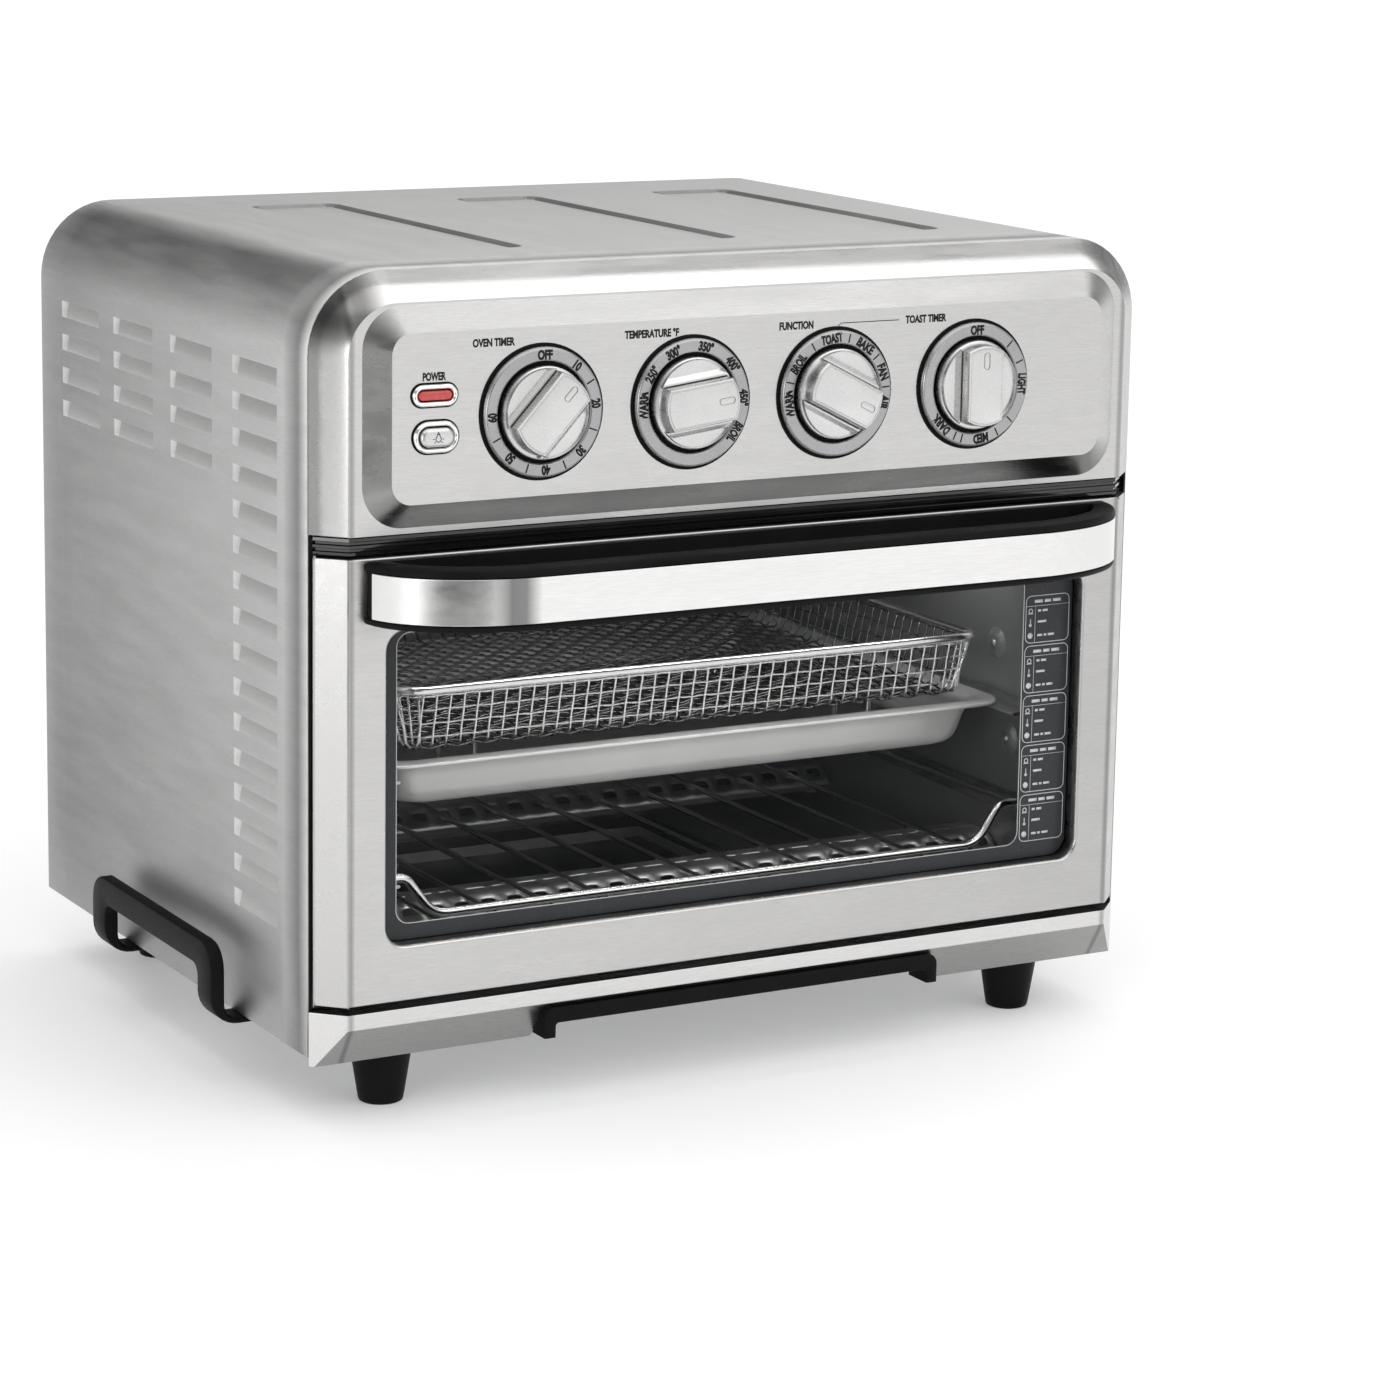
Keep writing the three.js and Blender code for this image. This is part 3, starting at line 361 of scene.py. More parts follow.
# ---------------------------------------------------------------- camera, stage and light
def make_camera():
    place = Vector((-866.8, -1489.1, 544.0))
    yaw, pitch, roll = (math.radians(a) for a in (29.457, 10.508, 0.962))
    ahead = Vector((math.sin(yaw) * math.cos(pitch), math.cos(yaw) * math.cos(pitch), -math.sin(pitch)))
    right = Vector((math.cos(yaw), -math.sin(yaw), 0))
    up = right.cross(ahead)
    tilted_right = right * math.cos(roll) + up * math.sin(roll)
    tilted_up = up * math.cos(roll) - right * math.sin(roll)
    data = bpy.data.cameras.new("camera")
    data.lens = 106.2
    data.sensor_width = 36
    data.shift_y = -0.1
    data.clip_start, data.clip_end = 0.05, 50
    camera = bpy.data.objects.new("camera", data)
    turn = Matrix((tilted_right, tilted_up, -ahead)).transposed().to_4x4()
    camera.matrix_world = Matrix.Translation(place * MM + Vector((0, FRONT_Y, 0))) @ turn
    bpy.context.scene.collection.objects.link(camera)
    bpy.context.scene.camera = camera


def light(kind, name, place, aim, power, **settings):
    data = bpy.data.lights.new(name, kind)
    data.energy = power
    for key, value in settings.items():
        setattr(data, key, value)
    lamp = bpy.data.objects.new(name, data)
    lamp.location = place
    lamp.rotation_mode = "QUATERNION"
    lamp.rotation_quaternion = Vector(aim).to_track_quat("-Z", "Y")
    bpy.context.scene.collection.objects.link(lamp)
    return lamp


def area_light(name, place, target, size, power):
    aim = Vector(target) - Vector(place)
    return light("AREA", name, place, aim, power, shape="RECTANGLE", size=size[0], size_y=size[1])


# Brightness of the studio's walls by the sine of the height above the horizon.
WALL_TONES = ((-0.2, 0.95), (0.0, 0.96), (0.12, 0.88), (0.26, 0.68), (0.42, 0.55), (0.62, 0.5), (0.85, 0.5), (1.0, 0.5))
# Unlit parts of the walls: direction they lie in, cosines where they begin and are darkest, tone left there.
DARK_WALLS = (
    ((-0.49, -0.87, 0), 0.82, 0.97, 0.08),
    ((-0.8, 0.6, 0), 0.62, 0.95, 0.55),
    ((-0.08, 0.86, 0.5), 0.84, 0.97, 0.12),
)


def make_world():
    world = bpy.data.worlds.new("studio")
    world.use_nodes = True
    s = Nodes(world.node_tree)
    backdrop = s.tree.nodes["Background"]
    toward_wall = s.new("TexCoord").outputs["Generated"]
    low, high = WALL_TONES[0][0], WALL_TONES[-1][0]
    ramp = s.new("ValToRGB")
    stops = ramp.color_ramp.elements
    while len(stops) < len(WALL_TONES):
        stops.new(1.0)
    for stop, (z, tone) in zip(stops, WALL_TONES):
        stop.position = (z - low) / (high - low)
        stop.color = (tone, tone, tone, 1)
    s.link(s.remap(s.part(toward_wall, "Z"), 0.0, 1.0, low, high), ramp.inputs["Fac"])
    s.link(ramp.outputs["Color"], backdrop.inputs["Color"])
    share = None
    for direction, begin, full, left in DARK_WALLS:
        near = s.new("VectorMath", operation="DOT_PRODUCT")
        near.inputs[1].default_value = direction
        s.link(toward_wall, near.inputs[0])
        fade = s.remap(near.outputs["Value"], 1.0, left, begin, full)
        share = fade if share is None else s.math("MULTIPLY", share, fade)
    s.link(share, backdrop.inputs["Strength"])
    return world


def stage_piece(name, bm, material, place=(0, 0, 0), only_reflected=False):
    mesh = bpy.data.meshes.new(name)
    bm.to_mesh(mesh)
    bm.free()
    mesh.materials.append(material)
    obj = bpy.data.objects.new(name, mesh)
    obj.location = place
    bpy.context.scene.collection.objects.link(obj)
    if only_reflected:
        obj.visible_camera = obj.visible_diffuse = obj.visible_shadow = False


def make_stage():
    scene = bpy.context.scene
    scene.view_settings.view_transform = "Standard"
    scene.world = make_world()
    bm = bmesh.new()
    bmesh.ops.create_grid(bm, x_segments=2, y_segments=2, size=20)
    stage_piece("floor", bm, pale_floor)
    # Beside the camera lies a dark card that the metal reflects but the camera doesn't see.
    bm = bmesh.new()
    bmesh.ops.create_circle(bm, cap_ends=True, segments=48, radius=0.96)
    stage_piece("card", bm, dark_card(), (-0.85, -1.55, 0.001), only_reflected=True)
    light("SUN", "overhead_sky", (0, 0, 0), (-0.1, 0.12, -1.0), 1.9, angle=math.radians(100))
    area_light("key", (0.9, -2.0, 1.3), (0, 0, 0.2), (1.6, 1.2), 6)
    area_light("left_front", (-1.7, -1.15, 0.45), (0, 0, 0.16), (0.8, 0.7), 6)
    # Lights the inside: it hangs behind the door's top edge, out of sight.
    fill = area_light("cavity_fill", (0, FRONT_Y + 0.034, 0.234), (0, FRONT_Y + 0.3, 0.15), (0.3, 0.012), 0.26)
    fill.visible_camera = False


# ---------------------------------------------------------------- mesh helpers, in millimetres
def loft(bm, rings, close_rings=False, cap=True):
    """Quads between rings of equal length; either closed into a loop of rings or capped at both ends."""
    rows = [[bm.verts.new(p) for p in ring] for ring in rings]
    pairs = list(zip(rows, rows[1:]))
    if close_rings:
        pairs.append((rows[-1], rows[0]))
    for a, b in pairs:
        for i in range(len(a)):
            j = (i + 1) % len(a)
            bm.faces.new((a[i], a[j], b[j], b[i]))
    if cap and not close_rings:
        bm.faces.new(rows[0][::-1])
        bm.faces.new(rows[-1])
    return rows


def rounded(u0, u1, v0, v1, r, r_top=None, seg=8):
    """Points of a rounded rectangle, always 4 * (seg + 1) of them, counter-clockwise from the lower right."""
    t = r if r_top is None else r_top
    corners = ((u1 - r, v0 + r, r, -90), (u1 - t, v1 - t, t, 0), (u0 + t, v1 - t, t, 90), (u0 + r, v0 + r, r, 180))
    return [
        (u + radius * math.cos(a), v + radius * math.sin(a))
        for u, v, radius, start in corners
        for a in sweep(start, start + 90, seg)
    ]


def at_y(outline, y):
    return [(u, y, v) for u, v in outline]


def at_z(outline, z):
    return [(u, v, z) for u, v in outline]


def circle(radius, seg):
    return [(radius * math.cos(a), radius * math.sin(a)) for a in sweep(0, 360, seg)[:-1]]


def lathe(bm, profile, centre, axis="y", seg=48, close_rings=False):
    """A turned body: profile is a list of (radius, place along the axis)."""
    place = {"x": lambda u, v, w: (w, u, v), "y": lambda u, v, w: (u, w, v), "z": lambda u, v, w: (u, v, w)}[axis]
    rings = [[Vector(place(u, v, along)) + Vector(centre) for u, v in circle(radius, seg)] for radius, along in profile]
    loft(bm, rings, close_rings)


def tube(bm, path, radius, sides=8, closed=False):
    """A round tube along a path of points."""
    points = [Vector(p) for p in path]
    count = len(points)
    normal = None
    rings = []
    for i, point in enumerate(points):
        before = points[i - 1] if (i or closed) else point
        after = points[(i + 1) % count] if (i + 1 < count or closed) else point
        along = (after - before).normalized()
        if normal is None:
            normal = along.orthogonal().normalized()
        normal = (normal - along * normal.dot(along)).normalized()
        side = along.cross(normal)
        rings.append([point + c * normal + s * side for c, s in circle(radius, sides)])
    loft(bm, rings, close_rings=closed)


def piece(name, bm, material, node=None, body=ROOT, bevel=0.0, sharp=35, segments=2, bevel_over=30, sheet=0.0, grow=-1):
    """Turns a mesh in millimetres into a piece that rides on a body and takes the place of a CAD node.

    A sheet's thickness grows inwards with grow = -1, and to both sides with 0.
    """
    bmesh.ops.remove_doubles(bm, verts=bm.verts, dist=1e-4)
    bmesh.ops.recalc_face_normals(bm, faces=bm.faces)
    bm.transform(Matrix.Translation((0, FRONT_Y, 0)) @ Matrix.Scale(MM, 4))
    mesh = bpy.data.meshes.new(name)
    bm.to_mesh(mesh)
    bm.free()
    materials = material if isinstance(material, list) else [material]
    for m in materials:
        mesh.materials.append(m)
    mesh.shade_smooth()
    mesh.set_sharp_from_angle(angle=math.radians(sharp))
    obj = bpy.data.objects.new(name, mesh)
    bpy.context.scene.collection.objects.link(obj)
    if bevel:
        rim = obj.modifiers.new("soft_edges", "BEVEL")
        rim.width = bevel * MM
        rim.segments = segments
        rim.limit_method = "ANGLE"
        rim.angle_limit = math.radians(bevel_over)
        rim.harden_normals = True
    if sheet:
        skin = obj.modifiers.new("sheet", "SOLIDIFY")
        skin.thickness = sheet * MM
        skin.offset = grow
    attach(obj, body)
    if node:
        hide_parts(node)
    return obj


def lofted(name, rings, material, node=None, body=ROOT, close_rings=False, **look):
    bm = bmesh.new()
    loft(bm, rings, close_rings)
    return piece(name, bm, material, node, body, **look)


def mirror_x(points, sign=-1):
    return [(sign * x, y, z) for x, y, z in points]


# ---------------------------------------------------------------- wrap
TOP_RADIUS = 34
SHEET = 1.2
QUARTERS = (0, 0.25, 0.5, 0.75, 1)
LOUVER = {"top": 312, "rows": 16, "pitch": 15.2, "height": 7.4, "press": 1.5, "length": 46}
LOUVER |= {"rear_ramp": 5.5, "front_ramp": 0.4}
LOUVER_COLUMNS = ((286.7, 4), (223.0, 4), (156.7, 4), (88.5, 16))  # rear end and number of rows
RECESS = {"x": (-97, 7.5, 112), "half": 21.5, "y0": 65, "y1": 265, "radius": 7, "depth": 1.6, "slope": 2.2}
RECESS_STEPS = (-0.5, 0, 0.6, 1.3, 2.2, 3.2, 4.4, 6, 8)


def louver_press(y, row):
    """How far a louver row is pressed in at y, from 0 to 1."""
    for rear, count in LOUVER_COLUMNS:
        inside = min(rear - y, y - (rear - LOUVER["length"]))
        if row < count and inside > 0:
            near_rear = rear - y < LOUVER["length"] / 2
            return min(inside / LOUVER["rear_ramp" if near_rear else "front_ramp"], 1.0)
    return 0.0


def recess_drop(x, y):
    """Depth of the pressed fields in the top."""
    r, mid_y = RECESS["radius"], (RECESS["y0"] + RECESS["y1"]) / 2
    for centre in RECESS["x"]:
        dx = abs(x - centre) - (RECESS["half"] - r)
        dy = abs(y - mid_y) - ((RECESS["y1"] - RECESS["y0"]) / 2 - r)
        inside = r - math.hypot(max(dx, 0), max(dy, 0)) - min(max(dx, dy), 0)
        if inside > 0:
            t = min(inside / RECESS["slope"], 1.0)
            return RECESS["depth"] * t * t * (3 - 2 * t)
    return 0.0


def wrap_shell():
    """The wrap runs through stations: (x, z), normal, row of the louver, "top" or None, and share of its press."""
    lo, hi = cad("outer_wrap")
    half, top = hi.x, hi.z
    straight, left = top - TOP_RADIUS, TOP_RADIUS - half
    flank = [((-half, lo.z), (-1, 0), None, 0)]
    for row in reversed(range(LOUVER["rows"])):
        edge = LOUVER["top"] - row * LOUVER["pitch"]
        flank += [((-half, edge - LOUVER["height"] * (1 - share)), (-1, 0), row, share) for share in QUARTERS]
        flank.append(((-half, edge), (-1, 0), None, 0))
    flank.append(((-half, straight), (-1, 0), None, 0))
    for a in sweep(180, 90, 12)[1:-1]:
        n = (math.cos(a), math.sin(a))
        flank.append(((left + TOP_RADIUS * n[0], straight + TOP_RADIUS * n[1]), n, None, 0))
    crown = sorted({c + s * (RECESS["half"] - d) for c in RECESS["x"] for s in (-1, 1) for d in RECESS_STEPS})
    stations = flank + [((x, top), (0, 1), "top", 0) for x in (left, *crown, -left)]
    stations += [((-x, z), (-nx, nz), row, share) for (x, z), (nx, nz), row, share in reversed(flank)]

    cuts = {lo.y, hi.y} | {y for d in RECESS_STEPS for y in (RECESS["y0"] + d, RECESS["y1"] - d)}
    for rear, _ in LOUVER_COLUMNS:
        cuts |= {rear - LOUVER["rear_ramp"] * share for share in QUARTERS}
        cuts |= {rear - LOUVER["length"] + d for d in (0, LOUVER["front_ramp"], 15)}
    bm = bmesh.new()
    rows = []
    for (x, z), (nx, nz), row, share in stations:
        line = []
        for y in sorted(cuts):
            out = 0.0
            if row == "top":
                out = -recess_drop(x, y)
            elif row is not None:
                out = -LOUVER["press"] * min(share**1.3, louver_press(y, row))
            line.append(bm.verts.new((x + nx * out, y, z + nz * out)))
        rows.append(line)
    for k, (a, b) in enumerate(zip(rows, rows[1:])):
        shelf = stations[k][0] == stations[k + 1][0]
        for i in range(len(a) - 1):
            corners = [a[i], b[i], b[i + 1], a[i + 1]]
            if shelf:
                corners = [v for n, v in enumerate(corners) if all((v.co - w.co).length > 1e-4 for w in corners[:n])]
            if len(corners) < 3:
                continue
            face = bm.faces.new(corners)
            presses = [abs(abs(v.co.x) - half) for v in corners]
            # Louver faces take the painted shade, their rear ramps the painted highlight.
            if stations[k][2] not in (None, "top") and max(presses) > 0.02:
                y = a[i].co.y
                on_ramp = any(0 <= rear - y <= LOUVER["rear_ramp"] for rear, _ in LOUVER_COLUMNS)
                face.material_index = 2 if on_ramp and max(presses) - min(presses) > 0.1 else 1
    piece("wrap_shell", bm, [steel_y, louver_painted_shade, louver_end_painted_highlight], "outer_wrap", sharp=16, sheet=SHEET)


# ---------------------------------------------------------------- front pieces
CREASE = 188.0  # where the front faces end and turn back
CHAMFER = 12.4
FRONT_BACK = 12.1  # rear edge of the front pieces, short of the wrap by the gap line
FIELD_Y = cad("control_panel")[0].y


def pill(centre, half_w, half_h):
    """A bar with round ends."""
    x, z = centre
    return rounded(x - half_w, x + half_w, z - half_h, z + half_h, min(half_w, half_h) - 0.02, None, 10)


def control_panel():
    lo, hi = cad("control_panel")

    def outline(turned):
        side, top, r = CREASE + turned, hi.z - CHAMFER + turned, TOP_RADIUS - CHAMFER + turned
        return rounded(-side, side, lo.z, top, 0.4, r, 12)

    foot = rounded(-182, 182, 250.4, 341.1, 18, 18, 12)
    field = rounded(-171.5, 171.5, 260.5, 330.4, 9, 9, 12)
    bm = bmesh.new()
    rings = [at_y(outline(FRONT_BACK), FRONT_BACK), at_y(outline(0), 0), at_y(foot, 0), at_y(field, lo.y)]
    rows = loft(bm, rings, cap=False)
    holes = [pill(middle("power_lamp_bezel"), 8.8, 3.3), pill(middle("light_button_bezel"), 8.8, 5.3)]
    loops = [rings[-1]] + [at_y(hole, lo.y) for hole in holes]
    verts = rows[-1] + [bm.verts.new(p) for loop in loops[1:] for p in loop]
    for corners in tessellate_polygon([[Vector((x, z, 0)) for x, _, z in loop] for loop in loops]):
        bm.faces.new([verts[i] for i in corners])
    look = {"bevel": 1.8, "sharp": 20, "segments": 4, "bevel_over": 18, "sheet": SHEET}
    obj = piece("panel_shell", bm, steel_x, "control_panel", **look)
    for face in obj.data.polygons:
        face.use_smooth = abs(face.center.y - FRONT_Y - lo.y * MM) > 1e-6


def gap_line():
    """Black seal in the gap between the wrap and the front pieces, set back below both."""
    lo, hi = cad("outer_wrap")

    def hoop(inset, y):
        side, top, r = hi.x - inset, hi.z - inset, TOP_RADIUS - inset
        right = [(side, y, lo.z + 0.5), (side, y, 150)]
        right += [(side - r + r * math.cos(a), y, top - r + r * math.sin(a)) for a in sweep(0, 90, 12)]
        return right + mirror_x(right[::-1])

    edges = (hoop(0.75, 12.3), hoop(0.75, lo.y + 0.9), hoop(1.75, lo.y + 0.9), hoop(1.75, 12.3))
    lofted("front_seal", list(zip(*edges)), black)


def plan(front, back, inset):
    """Outline seen from above of a front piece with its turned-back ends."""
    crease, turned = CREASE - inset, min(CHAMFER, back - front)
    right = [(crease, front), (crease + turned, front + turned), (crease + turned, back)]
    return [(-crease, front)] + right + [(-x, y) for x, y in right[:0:-1]]


def seam_strip():
    lo, hi = cad("seam_strip")
    levels = [(0, 0.6), (0.5, 0.1), (1.6, 0), (2.0, 0.9), (2.9, 0.9), (3.3, 0)]
    levels += [(4.4, 0), (4.8, 0.9), (5.7, 0.9), (6.1, 0), (7.4, 0.1), (7.9, 0.6)]
    rings = [at_z(plan(lo.y + d, hi.y + 0.02, 1 + d * 0.4), lo.z + up) for up, d in levels]
    lofted("seam_strip_ridged", rings, gloss_black, "seam_strip")


def base_rail():
    lo, hi = cad("base_rail")
    edge, lean, notch_top, notch = 42.2, 10.5, 40.4, 93
    side = CREASE + FRONT_BACK
    cut = lean * (edge - notch_top) / (edge - lo.z)

    def section(x_top, x_low, y_front, y_low, z_low):
        front = [(x_top, y_front, hi.z), (x_top, y_front, edge), (x_low, y_low, z_low)]
        return front + [(x_low, hi.y, z_low), (x_top, hi.y, hi.z)]

    half = [
        section(side, side, FRONT_BACK, FRONT_BACK, lo.z),
        section(CREASE, CREASE + lean, 0, lean, lo.z),
        section(notch, notch + 5.8, 0, lean, lo.z),
        section(notch, notch, 0, cut, notch_top),
    ]
    bm = bmesh.new()
    loft(bm, [mirror_x(ring) for ring in half] + half[::-1])
    bmesh.ops.dissolve_degenerate(bm, edges=bm.edges, dist=1e-3)
    piece("rail_faceted", bm, steel_rail, "base_rail", bevel=1.5, segments=4, bevel_over=20)


def door_frame():
    lo, hi = cad("door_frame")

    def window(inset):
        return rounded(-170.5 + inset, 170.5 - inset, 75.5 + inset, 208 - inset, 8.6 - inset * 0.6, None, 10)

    corners = ((hi.x, hi.y), (hi.x, hi.x - CREASE), (CREASE, 0))
    outlines = [(rounded(-x, x, lo.z, hi.z, 0.4, 0.4, 10), y) for x, y in corners]
    outlines += [(window(inset), y) for inset, y in ((-1.6, 0), (-0.9, 0.12), (-0.3, 0.6), (0, 1.3), (0, 7.6))]
    bm = bmesh.new()
    rows = loft(bm, [at_y(outline, y) for outline, y in outlines], cap=False)
    # The bottom edge only has a narrow lip, so that the hinge tongues clear it when the door is open.
    flange = [face for face in bm.faces if max(v.co.z for v in face.verts) < lo.z + 0.01]
    bmesh.ops.delete(bm, geom=flange, context="FACES_ONLY")
    ends = [min(rows[2], key=lambda v: (v.co.z, sign * v.co.x)) for sign in (1, -1)]
    lip = [bm.verts.new((v.co.x, 1.8, v.co.z)) for v in ends]
    bm.faces.new((ends[0], ends[1], lip[1], lip[0]))
    piece("door_skin", bm, steel_door, "door_frame", "door", bevel=1.5, segments=4, sheet=1.1)


CLEAR_AREA = rounded(-162.7, 144.4, 82.6, 205.5, 6)


def door_glass():
    """The pane, and on its front the dark print that leaves an area clear."""
    lo, hi = cad("door_glass")
    edge = rounded(lo.x, hi.x, lo.z, hi.z, 8.6)
    lofted("glass_pane", [at_y(edge, lo.y + 0.25), at_y(edge, hi.y)], glass, "door_glass", "door")
    front, back = lo.y + 0.05, lo.y + 0.2
    rings = [at_y(edge, back), at_y(edge, front), at_y(CLEAR_AREA, front), at_y(CLEAR_AREA, back)]
    lofted("glass_border", rings, dark_print, None, "door", close_rings=True)


HANDLE = {"half": 181, "flat": 118, "reach": 41, "seg": 14}


def handle_plan(inset, back):
    """The bow of the handle from above, drawn in by inset: a flat middle and a Bezier curve at each end."""
    half, front, flat = HANDLE["half"] - inset, inset - HANDLE["reach"], HANDLE["flat"]
    control = [(half, back), (half - 2, -24 + inset), (flat + 32, front), (flat, front)]
    curve = []
    for i in range(HANDLE["seg"] + 1):
        t = i / HANDLE["seg"]
        weights = ((1 - t) ** 3, 3 * t * (1 - t) ** 2, 3 * t * t * (1 - t), t**3)
        curve.append(tuple(sum(w * p[k] for w, p in zip(weights, control)) for k in (0, 1)))
    return [(-x, y) for x, y in curve] + curve[::-1]


def door_handle():
    lo, hi = cad("door_handle")
    band_lo, band_hi = cad("door_handle_band")
    back, z0, z1 = hi.y, lo.z, hi.z
    outside = [(z0, 1.6), (z0 + 0.4, 0.7), (z0 + 1.2, 0.15), (band_lo.z - 0.5, 0), (band_lo.z - 0.3, 1.5)]
    outside += [(band_hi.z + 0.3, 1.5), (band_hi.z + 0.5, 0), (z1 - 1.8, 0.1), (z1 - 0.7, 0.7), (z1 - 0.1, 2.0)]
    inside = [(z1 - 0.1, 9.2), (z1 - 0.8, 10.4), (z1 - 2.2, 11), (z0 + 2.2, 11), (z0 + 0.7, 10.4), (z0, 9.2)]
    rings = [at_z(handle_plan(inset, back), z) for z, inset in outside]
    rings += [at_z(handle_plan(inset, -3.4), z) for z, inset in inside]
    lofted("handle_bar", rings, black, "door_handle", "door", close_rings=True)

    outer = handle_plan(0, back)
    ends = sum(1 for point in outer if point[1] > -2.5) // 2
    strip = outer[ends:-ends] + handle_plan(1.2, back)[-ends - 1 : ends - 1 : -1]
    rings = [at_z(strip, band_lo.z), at_z(strip, band_hi.z)]
    lofted("handle_band", rings, band_steel, "door_handle_band", "door", bevel=0.3)


# ---------------------------------------------------------------- lettering and printed lines
def letter(bm, text, height, place, squeeze, weight):
    """Adds a centred line of plain lettering to a mesh; place turns a flat (u, v) into a point."""
    curve = bpy.data.curves.new("lettering", "FONT")
    curve.body = text
    curve.size = height / 0.7
    curve.align_x = "CENTER"
    curve.resolution_u = 3
    curve.offset = weight * curve.size
    holder = bpy.data.objects.new("lettering", curve)
    mesh = holder.to_mesh()
    made = [bm.verts.new(place(v.co.x * squeeze, v.co.y - height / 2)) for v in mesh.vertices]
    for polygon in mesh.polygons:
        bm.faces.new([made[i] for i in polygon.vertices])
    holder.to_mesh_clear()
    bpy.data.objects.remove(holder)
    bpy.data.curves.remove(curve)


def stroke(bm, points, width, place, closed=False):
    """A flat printed line through (u, v) points."""
    pts = [Vector(p) for p in points]
    count = len(pts)
    pairs = []
    for i, p in enumerate(pts):
        before = pts[i - 1] if (i or closed) else p
        after = pts[(i + 1) % count] if (i + 1 < count or closed) else p
        along = (after - before).normalized()
        side = Vector((-along.y, along.x)) * width / 2
        pairs.append([bm.verts.new(place(*(p + side))), bm.verts.new(place(*(p - side)))])
    if closed:
        pairs.append(pairs[0])
    for a, b in zip(pairs, pairs[1:]):
        bm.faces.new((a[0], a[1], b[1], b[0]))


def disc(bm, centre, radius, place, inner=0.0):
    """A printed dot, or a ring when inner is given."""
    path = [(centre[0] + u, centre[1] + v) for u, v in circle((radius + inner) / 2 if inner else radius, 20)]
    if inner:
        stroke(bm, path, radius - inner, place, closed=True)
    else:
        bm.faces.new([bm.verts.new(place(*p)) for p in path])


def print_piece(name, bm, ink, body=ROOT):
    """Printed lettering or lines: a film a few hundredths of a millimetre thick."""
    piece(name, bm, ink, None, body, sheet=0.05, grow=0)


# ---------------------------------------------------------------- dials
# Where each knob points, its label and the label's middle, its marks and its ticks; angles go clockwise from the top.
DIALS = {
    "oven_timer": {
        "angle": 43,
        "label": ("OVEN TIMER", -126.4),
        "marks": (("OFF", 0), ("10", 38), ("20", 84), ("30", 135), ("40", 178), ("50", 221), ("60", 268)),
        "ticks": (61, 110, 157, 199, 245),
    },
    "temperature": {
        "angle": 83,
        "label": ("TEMPERATURE °F", -53.5),
        "marks": (
            ("WARM", -90), ("250°", -57), ("300°", -25), ("350°", 13), ("400°", 50), ("450°", 88), ("BROIL", 124),
        ),
        "ticks": (),
    },
    "function": {
        "angle": 117,
        "label": ("FUNCTION", 15.7),
        "marks": (("WARM", -98), ("BROIL", -55), ("TOAST", -8), ("BAKE", 34), ("FAN", 70), ("AIR", 102)),
        "ticks": (-76, -31, 13, 52, 86),
    },
    "toast_timer": {
        "angle": 0,
        "label": ("TOAST TIMER", 80.0),
        "marks": (("OFF", 0), ("LIGHT", 92), ("MED", 172), ("DARK", 226)),
        "ticks": (45, 68, 132, 152, 196, 205),
    },
}
RING = {"inner": 20.9, "outer": 27.0, "crown": 3.1, "edge": 1.9}
KNOB_RADIUS = 19.4
GRIP = {"half": 9.4, "tip": 18.2, "tail": 17.8, "top": 11.5, "disc": 4.8}


def ring_height(r):
    """Height of the dial ring above the panel's field at radius r: flat, with rounded edges."""
    t = (r - (RING["inner"] + RING["outer"]) / 2) / ((RING["outer"] - RING["inner"]) / 2)
    fall = max(abs(t) - 0.66, 0) / 0.34
    return RING["edge"] + (RING["crown"] - RING["edge"]) * (1 - fall * fall)


def dial_ring(name, centre):
    x, z = centre
    inner, outer = RING["inner"], RING["outer"]
    profile = [(inner, 0.3), (outer - 0.1, 0.3), (outer, 0.6), (outer, 1.6)]
    crown = [outer - 0.25 - (outer - inner - 0.5) * i / 14 for i in range(15)]
    profile += [(r, ring_height(r)) for r in crown] + [(inner, 1.9)]
    # A black disc under the ring that shows as a dark outline round it and in the gap to the knob: painted shadow.
    shadow = [(18.0, 0.05), (28.4, 0.05), (28.4, 0.22), (28.1, 0.32), (27.25, 0.32), (27.15, 0.25), (18.0, 0.25)]
    parts = (("ring", profile, 96, satin, f"{name}_ring", 40), ("gasket", shadow, 64, black, None, 35))
    for part, outline, seg, material, node, sharp in parts:
        bm = bmesh.new()
        lathe(bm, [(r, FIELD_Y - h) for r, h in outline], (x, 0, z), "y", seg, close_rings=True)
        piece(f"{name}_dial_{part}", bm, material, node, sharp=sharp)

    def on_ring(angle, radius):
        s, c = math.sin(math.radians(angle)), math.cos(math.radians(angle))

        def place(u, v):
            r = radius + v
            return (x + r * s + u * c, FIELD_Y - ring_height(math.hypot(r, u)) - 0.06, z + r * c - u * s)

        return place

    bm = bmesh.new()
    for text, angle in DIALS[name]["marks"]:
        letter(bm, text, 3.7, on_ring(angle, 23.8), 0.62 if len(text) > 4 else 0.72, 0.055)
    for angle in DIALS[name]["ticks"]:
        stroke(bm, [(0, -1.9), (0, 1.9)], 0.6, on_ring(angle, 23.9))
    print_piece(f"{name}_dial_marks", bm, black_print)


def grip_outline(inset):
    """The grip bar from the front: straight sides, its tip and tail on arcs round the knob's axis."""
    half, tip, tail = GRIP["half"] - inset, GRIP["tip"] - inset, GRIP["tail"] - inset
    points = []
    for radius, end in ((tip, 1), (tail, -1)):
        reach = math.asin(half / radius)
        for i in range(13):
            a = end * reach * (1 - i / 6)
            points.append((radius * math.sin(a), end * radius * math.cos(a)))
    return points


def pointer_outline(half, v0, v1):
    """A slim slot with round ends, with as many points as the grip's outline."""
    tip = [(half * math.cos(a), half * math.sin(a)) for a in sweep(0, 180, 12)]
    return [(u, v1 - half + v) for u, v in tip] + [(-u, v0 + half - v) for u, v in tip]


def crescent(edge, radius):
    """The part of a disc beyond a straight edge."""
    b = math.degrees(math.acos(edge / radius))
    return [(radius * math.cos(a), radius * math.sin(a)) for a in sweep(-b, b, 16)]


